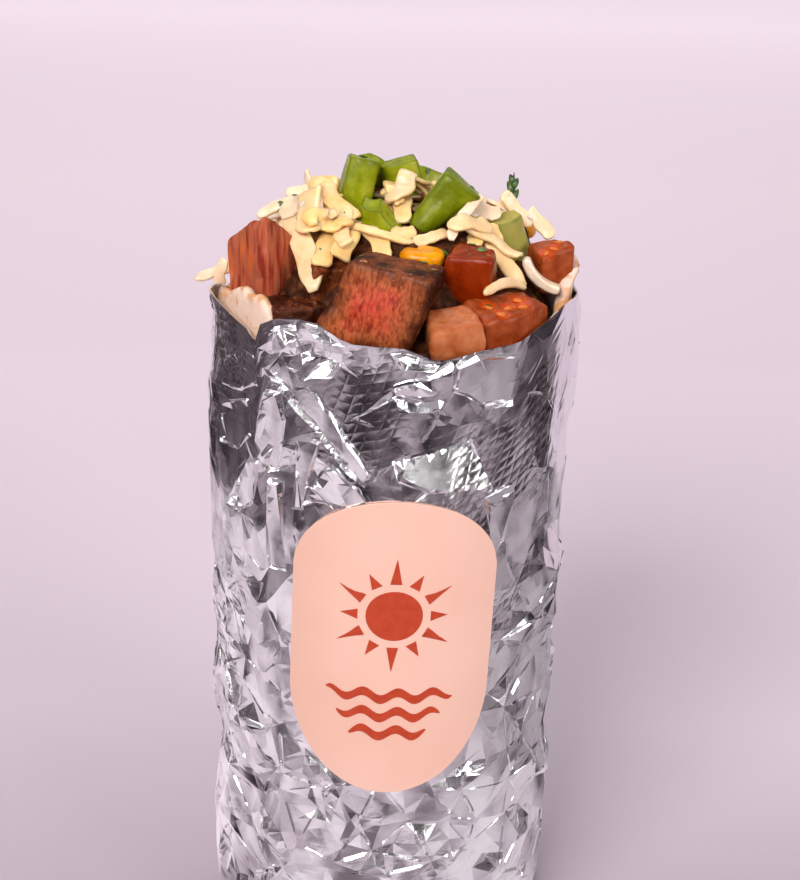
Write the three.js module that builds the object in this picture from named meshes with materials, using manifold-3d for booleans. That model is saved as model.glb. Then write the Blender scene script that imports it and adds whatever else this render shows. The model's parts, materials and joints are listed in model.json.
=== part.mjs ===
// A burrito in a foil wrap, standing on the folded end of the wrap with its open end up.
// The foil is crumpled round a tortilla, the tortilla holds the filling, and steak, tomato, green pepper,
// sweetcorn, onion and a herb sprig lie in a heap of filling and shredded cheese above the rim.
//
// Millimetres, +Z up. The origin is the centre of the flat foot, and -Y is the side with the label.
// An angle round the burrito, phi, is 0 at the label and grows towards +X.

import * as THREE from "three";
import { mergeVertices } from "three/addons/utils/BufferGeometryUtils.js";
import Module from "manifold-3d";

const wasm = await Module();
wasm.setup();

// ---- Driving dimensions ----

const WRAP_RADIUS = 36; // outside of the foil, before crumpling
const GAP = 0.3; // clearance between neighbouring pieces

const FOIL_INNER_RADIUS = 34.7;
const FOIL_FLOOR = 1.2; // thickness of the folded foil under the tortilla
const FOIL_LIP = 0.6; // thickness at the torn edge
const FOIL_LIP_DEPTH = 9; // the wall reaches its full thickness this far below the edge
const FOIL_FOLD = 0.75; // how far the broad folds stand in or out of the mean wall
const FOIL_CREASE = 0.35; // the same for the small creases between them
const FOOT_RADIUS = 28; // flat patch that the burrito stands on
const FOOT_SIDES = 10;
const FOOT_CORNER_HEIGHT = 7; // height at which the wall reaches its full radius
const WALL_STEPS = 50; // facets round the wall, a multiple of FOOT_SIDES
const WALL_ROWS = 21;

const TORTILLA_THICKNESS = 3;
const TORTILLA_OUTER_RADIUS = FOIL_INNER_RADIUS - GAP;
const TORTILLA_INNER_RADIUS = TORTILLA_OUTER_RADIUS - TORTILLA_THICKNESS;
const TORTILLA_FLOOR = FOIL_FLOOR + GAP;

const FILLING_RADIUS = TORTILLA_INNER_RADIUS - GAP;
const FILLING_FLOOR = TORTILLA_FLOOR + TORTILLA_THICKNESS + GAP;
const HEAP_EDGE_HEIGHT = 141; // where the heap meets the tortilla
const HEAP_RISE = 19; // from there to the middle of the heap
const HEAP_LUMP = 0.7; // unevenness of the heap
// Cheese is piled higher in two places, with a hollow before the second: [x, y, extra height, reach].
const CHEESE_PILES = [
  [-15, 5, 4, 6],
  [24, 7.5, 6.5, 4.2],
  [23, -4.5, -4.5, 4.2],
];

const LABEL_HALF_WIDTH = 19.8;
const LABEL_HALF_HEIGHT = 31.8;
const LABEL_TOP_END = 16; // height of the rounded upper end
const LABEL_BOTTOM_END = 23.3; // height of the rounded lower end
const LABEL_CENTRE_HEIGHT = 84;
const LABEL_TURN = 0.045; // radians round the burrito from -Y
const LABEL_TILT = 0.03; // radians in its own plane
const LABEL_RADIUS = WRAP_RADIUS + GAP + 0.05; // inside of the paper
const LABEL_THICKNESS = 0.4;

const SHRED = { length: 17, width: 3, thickness: 1.5 }; // one strip of cheese
const SHRED_COUNT = 13; // strips scattered over the back of the heap, besides the placed ones

// Strips that lie where they fell, over and between the larger pieces. path is a strip's middle line.
const PLACED_STRIPS = [
  { width: 4.8, path: [[-20.4, 3, 159.6], [-18, -12.2, 159.2], [-15.7, -17.6, 154.6], [-14.6, -21.6, 150.6]] },
  { width: 2.6, path: [[-16, 4, 161.5], [-21.6, 3.6, 160.2], [-27.5, 0.5, 158.4]] },
  { width: 2.6, path: [[-13.5, 3, 163.2], [-17.5, 4, 162.4], [-21.3, 4, 161.6]] },
  { width: 2, path: [[-17.5, 6, 165.9], [-17, 5, 162.6], [-15.9, -3, 159.6]] },
  { width: 3.6, path: [[-15, -0.6, 161.4], [-13.7, 3, 165], [-11.3, 3.6, 163]] },
  { width: 2.4, path: [[-11, -2.6, 160.8], [-14.5, -4.6, 161.6], [-17.3, -6.4, 158.2]] },
  { width: 2.6, path: [[-9.6, -7.6, 160.4], [-12.8, -9, 161], [-16, -7, 157.4]] },
  { width: 1.6, path: [[-12.4, -8, 158.9], [-8, -11.6, 160.1], [-3.1, -14.6, 159.9], [3.4, -14.6, 158.2]] },
  { width: 3.4, path: [[-10.4, -12, 158.4], [-12.8, -15.8, 156.8], [-13, -21, 154.8]] },
  { width: 3.4, path: [[-7.6, -10.8, 159], [-8.4, -15, 157.6], [-8.8, -18.6, 156.4]] },
  { width: 3.2, path: [[-5, -10.4, 158.6], [-2.9, -15, 157.6], [-1.4, -18.4, 156.2]] },
  { width: 3.6, path: [[0.7, 3, 162.6], [1.2, -2, 162.2], [1.5, -6.4, 158.6]] },
  { width: 1.6, path: [[-2.9, 2.4, 162.6], [0.5, 2.8, 164], [4.4, 3.4, 162.6]] },
  { width: 2.2, path: [[3.8, -14.6, 157.2], [7.2, -12, 158.4], [9.8, -9.6, 158]] },
  { width: 1.9, path: [[15.4, -2, 163.8], [13.1, -4.8, 163.2], [10.9, -7.8, 160], [9.9, -13, 157]] },
  { width: 3.4, path: [[12.8, -4.6, 159.4], [17.4, -6.6, 158], [20.8, -10.4, 154], [24.4, -11.6, 149.4]] },
  { width: 1.9, path: [[16.4, -22.2, 151.4], [19.6, -18.6, 152], [24.2, -12, 149.6]] },
  { width: 2.8, path: [[20.4, 4, 162.4], [23.4, 4.6, 160.6], [26.4, 4.6, 155.4]] },
  { width: 2.8, path: [[24, 7, 158.2], [27.4, 4.8, 158.4], [29.8, 2, 154]] },
  { width: 1.8, path: [[-28.5, 3, 147.4], [-34.5, 1.4, 146.4], [-38.8, 0, 145.4]] },
];

// The torn edge of the foil and the edge of the tortilla: [degrees round the burrito, height].
const FOIL_EDGE = [
  [-180, 145], [-158, 147], [-140, 143], [-125, 140.5], [-110, 140], [-98, 142.5], [-88, 145], [-74, 146.8],
  [-61, 146], [-50, 145], [-42, 143], [-38, 147], [-31, 148.6], [-22, 149.4], [-17, 148.2], [-12, 146],
  [1, 145.6], [14, 143], [26, 144], [40, 144], [53, 146.6], [62, 148.6], [72, 147.8], [90, 145.6],
  [118, 147.5], [150, 144.5],
];
const TORTILLA_EDGE = [
  [-180, 150], [-158, 150.5], [-138, 146], [-124, 142.5], [-110, 141], [-98, 143], [-82, 144], [-68, 147],
  [-56, 150.2], [-50, 151], [-45, 150.4], [-41, 148.4], [-33, 141], [20, 139.5], [50, 140], [70, 144], [84, 151],
  [104, 150.5],
  [130, 147.5], [158, 151],
];

// ---- Repeatable random numbers and smooth curves ----

function randomSource(seed) {
  let state = seed >>> 0;
  return () => {
    state = (state + 0x6d2b79f5) >>> 0;
    let t = Math.imul(state ^ (state >>> 15), state | 1);
    t ^= t + Math.imul(t ^ (t >>> 7), t | 61);
    return ((t ^ (t >>> 14)) >>> 0) / 4294967296;
  };
}

const fullTurn = 2 * Math.PI;

// Height of an edge at angle phi, eased between the two stated points beside it.
function edgeHeight(edge, phi) {
  const degrees = THREE.MathUtils.euclideanModulo(THREE.MathUtils.radToDeg(phi) + 180, 360) - 180;
  let i = edge.length - 1;
  while (i > 0 && edge[i][0] > degrees) i--;
  const [startAngle, startHeight] = edge[i];
  const [endAngle, endHeight] = i + 1 < edge.length ? edge[i + 1] : [edge[0][0] + 360, edge[0][1]];
  const share = (degrees - startAngle) / (endAngle - startAngle);
  const eased = share * share * (3 - 2 * share);
  return startHeight + (endHeight - startHeight) * eased;
}

function pointAt(phi, radius, height) {
  return [radius * Math.sin(phi), -radius * Math.cos(phi), height];
}

// ---- Closed meshes and solids ----

function solidOf(geometry) {
  const bare = geometry.clone();
  bare.deleteAttribute("normal");
  bare.deleteAttribute("uv");
  const merged = mergeVertices(bare, 1e-4);
  return new wasm.Manifold(
    new wasm.Mesh({
      numProp: 3,
      vertProperties: merged.attributes.position.array,
      triVerts: new Uint32Array(merged.index.array),
    }),
  );
}

function geometryOf(solid) {
  const { numProp, numVert, vertProperties, triVerts } = solid.getMesh();
  const positions = new Float32Array(numVert * 3);
  for (let i = 0; i < numVert; i++) {
    positions.set(vertProperties.subarray(i * numProp, i * numProp + 3), i * 3);
  }
  return new THREE.BufferGeometry()
    .setAttribute("position", new THREE.BufferAttribute(positions, 3))
    .setIndex(new THREE.BufferAttribute(new Uint32Array(triVerts), 1));
}

// The largest separate body of a solid: a cut can leave loose scraps.
function largestBody(solid) {
  return solid.decompose().reduce((a, b) => (b.volume() > a.volume() ? b : a));
}

// Turns a geometry by Euler angles in degrees, about X, then Y, then Z, and moves it to its place.
function placed(geometry, turn, at) {
  const euler = new THREE.Euler(...turn.map(THREE.MathUtils.degToRad), "ZYX");
  geometry.applyMatrix4(new THREE.Matrix4().makeRotationFromEuler(euler));
  geometry.translate(...at);
  return geometry;
}

function subtractAll(solid, cutters) {
  return cutters.reduce((rest, cutter) => rest.subtract(cutter), solid);
}

// A closed surface from rings of points. The first and last rings shrink to one point each.
function ringedGeometry(rings) {
  const steps = rings[0].length;
  const positions = rings.flat(2);
  const triangles = [];
  for (let row = 0; row + 1 < rings.length; row++) {
    for (let i = 0; i < steps; i++) {
      const next = (i + 1) % steps;
      const [a, b] = [row * steps + i, row * steps + next];
      const [c, d] = [a + steps, b + steps];
      triangles.push(a, b, d, a, d, c);
    }
  }
  const geometry = new THREE.BufferGeometry()
    .setAttribute("position", new THREE.Float32BufferAttribute(positions, 3))
    .setIndex(triangles);
  return mergeVertices(geometry, 1e-4);
}

function ring(steps, place) {
  return Array.from({ length: steps }, (_, i) => place((i / steps) * fullTurn, i));
}

// ---- The foil ----

// Random values between -1 and 1 on a slanting lattice over the wall, evenly blended between its points.
function wallNoise(seed, columns, rowHeight) {
  const random = randomSource(seed);
  const rows = Math.ceil(160 / rowHeight) + 2;
  const values = Array.from({ length: rows }, () => Array.from({ length: columns }, () => random() * 2 - 1));
  const SLANT = 0.45; // columns for each row
  return (phi, height) => {
    const row = height / rowHeight;
    const column = THREE.MathUtils.euclideanModulo((phi / fullTurn) * columns + SLANT * row, columns);
    const [r, c] = [Math.floor(row), Math.floor(column)];
    const next = (c + 1) % columns;
    const below = THREE.MathUtils.lerp(values[r][c], values[r][next], column - c);
    const above = THREE.MathUtils.lerp(values[r + 1][c], values[r + 1][next], column - c);
    return THREE.MathUtils.lerp(below, above, row - r);
  };
}

// The wall swells and sinks a little with what lies behind it.
function wallSwell(phi, height) {
  return 0.25 * Math.sin(2 * phi + 0.5 + height / 38) - 0.3 * Math.sin(3 * phi - height / 23);
}

// How much of the crumpling is left: the label presses the foil flat.
function labelPress(phi, height) {
  const across = (WRAP_RADIUS * (phi - LABEL_TURN)) / (LABEL_HALF_WIDTH + 2);
  const along = (height - LABEL_CENTRE_HEIGHT) / (LABEL_HALF_HEIGHT + 2);
  return THREE.MathUtils.smoothstep(Math.hypot(across, along), 0.95, 1.15);
}

// Radius of the regular polygon that the folded end stands on.
function footRadius(phi) {
  const side = fullTurn / FOOT_SIDES;
  const fromMiddle = THREE.MathUtils.euclideanModulo(phi, side) - side / 2;
  return (FOOT_RADIUS * Math.cos(side / 2)) / Math.cos(fromMiddle);
}

// Radius of the wall near the foot, where the folded end rounds into the wall.
function cornerRadius(phi, height) {
  const share = Math.min(1, height / FOOT_CORNER_HEIGHT);
  const rounding = Math.sqrt(share * (2 - share));
  return footRadius(phi) + (WRAP_RADIUS - footRadius(phi)) * rounding;
}

// A long sharp fold runs down across the wall, from the torn edge to the top of the label.
function diagonalFold(phi, height) {
  const FOLD_TOP = { phi: -0.68, height: 141 };
  const FOLD_SLOPE = 0.0185; // radians round the wall for each millimetre down
  const FOLD_HALF_WIDTH = 0.09;
  const FOLD_RISE = 0.9;
  const middle = FOLD_TOP.phi + (FOLD_TOP.height - height) * FOLD_SLOPE;
  const reach = THREE.MathUtils.smoothstep(height, 110, 120);
  return FOLD_RISE * reach * Math.max(0, 1 - Math.abs(phi - middle) / FOLD_HALF_WIDTH);
}

// The edge is rolled outwards for a short way where the foil was torn open.
function rolledLip(phi, height) {
  const LIP_MIDDLE = -0.5;
  const LIP_HALF_ANGLE = 0.24;
  const LIP_RISE = 1.1;
  const along = Math.max(0, 1 - ((phi - LIP_MIDDLE) / LIP_HALF_ANGLE) ** 2);
  return LIP_RISE * along * THREE.MathUtils.smoothstep(height, 141, 146);
}

function foilGeometry() {
  const random = randomSource(11);
  const broad = wallNoise(5, 17, 13);
  const wallFoot = FOOT_CORNER_HEIGHT * 0.35;
  const signedAngle = (phi) => (phi > Math.PI ? phi - fullTurn : phi);
  const edge = (phi) => edgeHeight(FOIL_EDGE, phi);
  const edgeRadius = [];
  const wallRow = (row) => {
    const share = row / WALL_ROWS;
    const isEdge = row === WALL_ROWS;
    return ring(WALL_STEPS, (phi, i) => {
      const jitter = isEdge ? 0 : (random() - 0.5) * 2.6 * share;
      const height = wallFoot + (edge(phi) - wallFoot) * share + jitter;
      const angle = signedAngle(phi);
      const fold = FOIL_FOLD * broad(phi, height);
      const crease = FOIL_CREASE * (random() * 2 - 1);
      const crumple = (wallSwell(angle, height) + fold + crease) * labelPress(angle, height);
      const raised = diagonalFold(angle, height) + rolledLip(angle, height);
      const radius = cornerRadius(phi, height) + crumple + raised;
      edgeRadius[i] = radius;
      return pointAt(phi + (random() - 0.5) * 0.05, radius, height);
    });
  };
  return ringedGeometry([
    ring(WALL_STEPS, () => [0, 0, 0]),
    ring(WALL_STEPS, (phi) => pointAt(phi, footRadius(phi), 0)),
    ...Array.from({ length: WALL_ROWS + 1 }, (_, row) => wallRow(row)),
    ring(WALL_STEPS, (phi, i) => {
      return pointAt(phi, Math.max(edgeRadius[i] - FOIL_LIP, FOIL_INNER_RADIUS), edge(phi) - 0.2);
    }),
    ring(WALL_STEPS, (phi) => pointAt(phi, FOIL_INNER_RADIUS, edge(phi) - FOIL_LIP_DEPTH)),
    ring(WALL_STEPS, (phi) => pointAt(phi, FOIL_INNER_RADIUS, FOOT_CORNER_HEIGHT + 1)),
    ring(WALL_STEPS, (phi) => pointAt(phi, footRadius(phi) - 1, FOIL_FLOOR)),
    ring(WALL_STEPS, () => [0, 0, FOIL_FLOOR]),
  ]);
}

// ---- The tortilla ----

// The edge curls outwards where it stands above the foil on the right.
function tortillaLean(phi, height) {
  const nearRight = Math.exp(-(((phi - 1.6) / 0.35) ** 2));
  return nearRight * 1.6 * THREE.MathUtils.smoothstep(height, 148, 151);
}

function tortillaGeometry() {
  const STEPS = 40;
  const edge = (phi) => edgeHeight(TORTILLA_EDGE, phi);
  const cornerTop = FOOT_CORNER_HEIGHT + 3;
  const foot = (phi) => footRadius(phi) - 2.5;
  const wavy = (phi) => 0.15 * Math.sin(9 * phi);
  const wallRing = (radius, height) =>
    ring(STEPS, (phi) => pointAt(phi, radius + tortillaLean(phi, height(phi)), height(phi)));
  return ringedGeometry([
    ring(STEPS, () => [0, 0, TORTILLA_FLOOR]),
    ring(STEPS, (phi) => pointAt(phi, foot(phi), TORTILLA_FLOOR)),
    wallRing(TORTILLA_OUTER_RADIUS, () => cornerTop),
    wallRing(TORTILLA_OUTER_RADIUS, (phi) => Math.min(edgeHeight(FOIL_EDGE, phi) + GAP, edge(phi) - 1.5)),
    wallRing(TORTILLA_OUTER_RADIUS, (phi) => edge(phi) - 1.1),
    wallRing(TORTILLA_OUTER_RADIUS - 0.7, edge),
    wallRing(TORTILLA_OUTER_RADIUS - 2, (phi) => edge(phi) + wavy(phi)),
    wallRing(TORTILLA_INNER_RADIUS, (phi) => edge(phi) - 1.2),
    wallRing(TORTILLA_INNER_RADIUS, () => 136),
    wallRing(TORTILLA_INNER_RADIUS, () => cornerTop + 3),
    ring(STEPS, (phi) => pointAt(phi, foot(phi) - 3, TORTILLA_FLOOR + TORTILLA_THICKNESS)),
    ring(STEPS, () => [0, 0, TORTILLA_FLOOR + TORTILLA_THICKNESS]),
  ]);
}

// ---- Diced food ----

// A cut piece: a rounded block with uneven corners, bowed across X if it comes from a curved wall.
// size, at and turn are the piece's own width, depth and height, its centre, and its Euler angles in degrees.
// slope slants the top along X and Y. wedge narrows the top by a share, towards a place across X.
function diceGeometry(piece, grow) {
  const { size, at, turn, seed, roundness, unevenness, bow = 0, shear = 0, steps = 3 } = piece;
  const { slope = [0, 0], wedge = [0, 0] } = piece;
  const random = randomSource(seed);
  const corners = Array.from({ length: 8 }, () => [0, 1, 2].map(() => (random() - 0.5) * 2 * unevenness));
  const geometry = new THREE.BoxGeometry(2, 2, 2, steps, steps, steps);
  const position = geometry.getAttribute("position");
  const half = size.map((s) => s / 2 + grow);
  for (let i = 0; i < position.count; i++) {
    const unit = [position.getX(i), position.getY(i), position.getZ(i)];
    const norm = unit.reduce((sum, u) => sum + Math.abs(u) ** roundness, 0) ** (1 / roundness);
    const rounded = unit.map((u) => u / norm);
    const offset = [0, 0, 0];
    corners.forEach((corner, c) => {
      const sign = [c & 1 ? 1 : -1, c & 2 ? 1 : -1, c & 4 ? 1 : -1];
      const weight = rounded.reduce((w, u, axis) => (w * (1 + sign[axis] * u)) / 2, 1);
      corner.forEach((value, axis) => (offset[axis] += weight * value));
    });
    const moved = rounded.map((u, axis) => u * half[axis] + (offset[axis] * size[axis]) / 2);
    moved[1] += bow * (rounded[0] ** 2 - 0.5);
    moved[0] += shear * moved[2];
    const upward = (rounded[2] + 1) / 2;
    moved[2] += (slope[0] * moved[0] + slope[1] * moved[1]) * upward;
    moved[0] += (wedge[1] * size[0] - moved[0]) * wedge[0] * upward;
    position.setXYZ(i, ...moved);
  }
  return placed(geometry, turn, at);
}

// A curved strip of onion: part of a ring.
function onionGeometry({ at, turn, radius, arc, width, thickness }, grow) {
  const ONION_STEPS = 7;
  const outline = new THREE.Shape();
  const [outer, inner] = [radius + thickness / 2 + grow, radius - thickness / 2 - grow];
  const reach = arc / 2 + grow / radius;
  for (let i = 0; i <= ONION_STEPS; i++) {
    const angle = -reach + (2 * reach * i) / ONION_STEPS;
    const point = [outer * Math.sin(angle), outer * Math.cos(angle) - radius];
    if (i === 0) outline.moveTo(...point);
    else outline.lineTo(...point);
  }
  for (let i = ONION_STEPS; i >= 0; i--) {
    const angle = -reach + (2 * reach * i) / ONION_STEPS;
    outline.lineTo(inner * Math.sin(angle), inner * Math.cos(angle) - radius);
  }
  const depth = width + 2 * grow;
  const geometry = new THREE.ExtrudeGeometry(outline, { depth, bevelEnabled: false });
  geometry.translate(0, 0, -depth / 2);
  return placed(geometry, turn, at);
}

// Every piece that lies in the heap, the ones that others are cut back from first.
const STEAK = { kind: "steak", roundness: 9, unevenness: 0.1, steps: 2 };
const TOMATO = { kind: "tomato", roundness: 6, unevenness: 0.16 };
const PEPPER = { kind: "pepper", roundness: 9, unevenness: 0.14, bow: 1.2 };
const CORN = { kind: "corn", size: [8.4, 6.2, 4], roundness: 2.6, unevenness: 0.08 };
const ONION = { kind: "onion", width: 4.2, thickness: 1.3 };

const TOPPINGS = {
  steak_left: {
    ...STEAK, seed: 3, at: [-23.9, -11.4, 149.8], size: [10.5, 10.5, 14], turn: [0, 0, 48], slope: [-0.8, -0.7],
  },
  steak_front: {
    ...STEAK, seed: 8, at: [-2.2, -25, 150.1], size: [18, 10.5, 16.2], turn: [-8, 7, -20], shear: 0.14,
    wedge: [0.13, 0.5],
  },
  steak_low: { ...STEAK, seed: 5, at: [-18, -21.4, 145.6], size: [11, 9, 6.5], turn: [0, 0, 24] },
  steak_middle: { ...STEAK, seed: 6, at: [-12.8, -16, 150.2], size: [7, 7, 9], turn: [6, 8, 20] },
  steak_back_left: { ...STEAK, seed: 14, at: [-17, 20, 149], size: [14, 12, 12], turn: [-14, 8, 35] },
  steak_back_right: { ...STEAK, seed: 15, at: [15.5, 21.5, 150], size: [15, 11, 12], turn: [-16, -6, -28] },
  tomato_upper: { ...TOMATO, seed: 21, at: [13.8, -16.6, 152.6], size: [9, 7.5, 11], turn: [4, 4, -14] },
  tomato_front: { ...TOMATO, seed: 22, at: [11.2, -27.8, 144.9], size: [9.6, 7.5, 9], turn: [12, -8, 14] },
  tomato_right_front: { ...TOMATO, seed: 23, at: [21, -21, 144.6], size: [14.5, 9.5, 9.5], turn: [8, -4, 32] },
  tomato_right: { ...TOMATO, seed: 24, at: [30.2, -2.8, 150.9], size: [7.4, 7.4, 7.6], turn: [0, -6, 25] },
  tomato_back: { ...TOMATO, seed: 25, at: [-1.5, 26.4, 150], size: [11, 8, 10], turn: [-10, 5, 8] },
  tomato_back_left: { ...TOMATO, seed: 26, at: [-26.4, 12.6, 147], size: [8.5, 9, 9], turn: [4, -8, 12] },
  pepper_left: { ...PEPPER, seed: 31, at: [-7.6, 2, 163], size: [6.5, 4.6, 12], turn: [-10, 14, 8] },
  pepper_rear: { ...PEPPER, seed: 32, at: [0.6, 8.6, 165], size: [7.2, 5, 5.4], turn: [-4, -12, 10] },
  pepper_front: {
    ...PEPPER, seed: 33, at: [-3, -7.4, 160.6], size: [9.6, 4.6, 5.4], turn: [12, 8, -4], wedge: [0.7, -0.28],
  },
  pepper_right: {
    ...PEPPER, seed: 34, at: [8.2, -3.2, 161.8], size: [8.6, 5.6, 12.6], turn: [8, -138, -6], wedge: [0.55, 0.12],
  },
  pepper_side: { ...PEPPER, seed: 35, at: [21.8, 1.2, 153.4], size: [7.4, 5, 13], turn: [0, -14, 30] },
  pepper_top: { ...PEPPER, seed: 37, at: [-5.2, 10.4, 164.8], size: [5.6, 4, 5.4], turn: [-10, 30, 40] },
  pepper_back: { ...PEPPER, seed: 36, at: [6.4, 19.4, 158.8], size: [9, 4.8, 8], turn: [-34, 14, -30] },
  corn_front: { ...CORN, seed: 41, at: [5, -16.2, 156], turn: [4, 2, -4] },
  corn_back: { ...CORN, seed: 42, at: [-8.4, 20, 158.6], turn: [-30, 10, 30] },
  corn_side: { ...CORN, seed: 43, at: [24.4, 13, 153.4], turn: [-14, 30, 60] },
  onion_right: {
    ...ONION, radius: 8, arc: 1.2, at: [27, -8.8, 150.1], turn: [84, -138, 0], width: 2.4, thickness: 1.9,
  },
  onion_back: { ...ONION, radius: 9, arc: 1.2, at: [-22.5, 13.5, 154.6], turn: [70, 14, 60] },
};

function toppingSolid(topping, grow = 0) {
  const makeGeometry = topping.kind === "onion" ? onionGeometry : diceGeometry;
  return solidOf(makeGeometry(topping, grow));
}

// ---- The herb sprig ----

const SPRIG = {
  at: [22.2, 6.5, 155.5],
  // Each section: height above the foot, half width, half thickness, sideways shift.
  sections: [
    [0, 0.4, 0.4, 0.4], [4.5, 0.4, 0.4, 0], [6, 0.9, 0.35, -0.2], [7.6, 1, 0.35, -0.3], [9, 0.6, 0.35, 0.1],
    [11, 0.4, 0.3, 0.3],
  ],
};

function sprigGeometry(grow = 0) {
  const SIDES = 6;
  const [x, y, z] = SPRIG.at;
  const last = SPRIG.sections.length - 1;
  const rings = SPRIG.sections.map(([height, halfWidth, halfThickness, shift], i) => {
    const reach = i === 0 ? -grow : i === last ? grow : 0;
    return ring(SIDES, (angle) => [
      x + shift + (halfWidth + grow) * Math.cos(angle),
      y + (halfThickness + grow) * Math.sin(angle),
      z + height + reach,
    ]);
  });
  const cap = (i) => rings[i].map(() => [x + SPRIG.sections[i][3], y, rings[i][0][2]]);
  return ringedGeometry([cap(0), ...rings, cap(last)]);
}

// ---- The filling, with the cheese that lies on it ----

// The heap is full at the back and falls away towards the front.
function heapHeight(x, y) {
  const radius = Math.hypot(x, y);
  const share = Math.min(1, radius / FILLING_RADIUS);
  const back = radius > 0 ? (y / radius) * share : 0;
  const dome = (1 - share ** (3.4 + 1.6 * back)) ** (0.8 - 0.2 * back);
  const lump = HEAP_LUMP * Math.sin(x / 3.1 + 1) * Math.cos(y / 2.7) * (1 - share ** 4);
  const piled = CHEESE_PILES.reduce((sum, [px, py, rise, reach]) => {
    return sum + rise * Math.exp(-((x - px) ** 2 + (y - py) ** 2) / (2 * reach ** 2));
  }, 0);
  return HEAP_EDGE_HEIGHT + HEAP_RISE * dome + lump + piled * (1 - share ** 8);
}

function coreGeometry() {
  const STEPS = 32;
  const HEAP_ROWS = 8;
  const floorRadius = FOOT_RADIUS - 7;
  const rings = [
    ring(STEPS, () => [0, 0, FILLING_FLOOR]),
    ring(STEPS, (phi) => pointAt(phi, floorRadius, FILLING_FLOOR)),
    ring(STEPS, (phi) => pointAt(phi, FILLING_RADIUS, FOOT_CORNER_HEIGHT + 7)),
  ];
  for (let row = 0; row < HEAP_ROWS; row++) {
    const radius = FILLING_RADIUS * Math.cos((row / HEAP_ROWS) * (Math.PI / 2));
    rings.push(
      ring(STEPS, (phi) => {
        const [x, y] = pointAt(phi, radius, 0);
        return [x, y, heapHeight(x, y)];
      }),
    );
  }
  rings.push(ring(STEPS, () => [0, 0, heapHeight(0, 0)]));
  return ringedGeometry(rings);
}

// A flat strip along a smooth curve, its flat side turned up and outwards from the heap.
function stripGeometry({ path, width = SHRED.width, steps = 3 }) {
  const curve = new THREE.CatmullRomCurve3(path.map((point) => new THREE.Vector3(...point)));
  const heapMiddle = new THREE.Vector3(0, 0, 132);
  const sections = [];
  for (let step = 0; step <= steps; step++) {
    const point = curve.getPoint(step / steps);
    const along = curve.getTangent(step / steps);
    const outward = point.clone().sub(heapMiddle);
    const side = along.clone().cross(outward).normalize();
    const up = side.clone().cross(along).normalize();
    const corner = ([s, u]) => {
      const across = side.clone().multiplyScalar((s * width) / 2);
      return across.addScaledVector(up, (u * SHRED.thickness) / 2).add(point).toArray();
    };
    sections.push([[1, -1], [-1, -1], [-1, 1], [1, 1]].map(corner));
  }
  const cap = (section) => section.map(() => [0, 1, 2].map((k) => (section[0][k] + section[2][k]) / 2));
  return ringedGeometry([cap(sections[0]), ...sections, cap(sections.at(-1))]);
}

// Strips that arch a little off the back of the heap, with both ends sunk in it.
function scatteredStrips() {
  const TRIES = 500;
  const GOLDEN_ANGLE = Math.PI * (3 - Math.sqrt(5));
  const random = randomSource(77);
  return Array.from({ length: TRIES }, (_, i) => {
    const radius = 6 + (FILLING_RADIUS - 10) * Math.sqrt(random());
    const angle = (i * GOLDEN_ANGLE) % Math.PI;
    const heading = random() * Math.PI;
    const half = (SHRED.length / 2) * (0.5 + 0.4 * random());
    const lift = 1.4 + 1.2 * random();
    const path = [-1, 0, 1].map((end) => {
      const x = radius * Math.cos(angle) + end * half * Math.cos(heading);
      const y = radius * Math.sin(angle) + end * half * Math.sin(heading);
      return [x, y, heapHeight(x, y) + (end === 0 ? lift : 0)];
    });
    return { path };
  });
}

// A scattered strip is left out where it would run into a larger piece or another strip.
function fillingSolid(cutters) {
  const MOST_CROSSED = 0.02; // share of a strip's volume
  const laid = PLACED_STRIPS.map((strip) => solidOf(stripGeometry(strip)));
  const placedCount = laid.length;
  for (const strip of scatteredStrips()) {
    const solid = solidOf(stripGeometry(strip));
    const crossings = [...cutters, ...laid].map((other) => solid.intersect(other).volume());
    const crossed = crossings.reduce((sum, volume) => sum + volume, 0);
    if (crossed < MOST_CROSSED * solid.volume()) laid.push(solid);
    if (laid.length === placedCount + SHRED_COUNT) break;
  }
  const heaped = laid.reduce((heap, strip) => heap.add(strip), solidOf(coreGeometry()));
  return largestBody(subtractAll(heaped, cutters));
}

// ---- The label ----

function labelGeometry() {
  const ROWS = 16;
  const COLUMNS = 6;
  const halfWidthAt = (along) => {
    const end = along > 0 ? LABEL_TOP_END : LABEL_BOTTOM_END;
    const intoEnd = Math.max(0, Math.abs(along) - LABEL_HALF_HEIGHT + end) / end;
    return LABEL_HALF_WIDTH * Math.sqrt(Math.max(0.0004, 1 - intoEnd * intoEnd));
  };
  const place = (across, along, radius) => {
    const turned = across * Math.cos(LABEL_TILT) + along * Math.sin(LABEL_TILT);
    const raised = along * Math.cos(LABEL_TILT) - across * Math.sin(LABEL_TILT);
    return pointAt(LABEL_TURN + turned / WRAP_RADIUS, radius, LABEL_CENTRE_HEIGHT + raised);
  };
  const faces = [LABEL_RADIUS, LABEL_RADIUS + LABEL_THICKNESS];
  const rings = [];
  for (let row = 0; row <= ROWS; row++) {
    const along = -LABEL_HALF_HEIGHT * Math.cos((row / ROWS) * Math.PI);
    const half = halfWidthAt(along);
    const across = Array.from({ length: COLUMNS + 1 }, (_, i) => half * ((2 * i) / COLUMNS - 1));
    const front = across.map((a) => place(a, along, faces[1]));
    const back = across.map((a) => place(a, along, faces[0])).reverse();
    rings.push([...front, ...back]);
  }
  const middle = (loop) => [0, 1, 2].map((k) => loop.reduce((sum, p) => sum + p[k], 0) / loop.length);
  const cap = (loop) => loop.map(() => middle(loop));
  return ringedGeometry([cap(rings[0]), ...rings, cap(rings[ROWS])]);
}

// ---- Colours and the finished group ----

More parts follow.
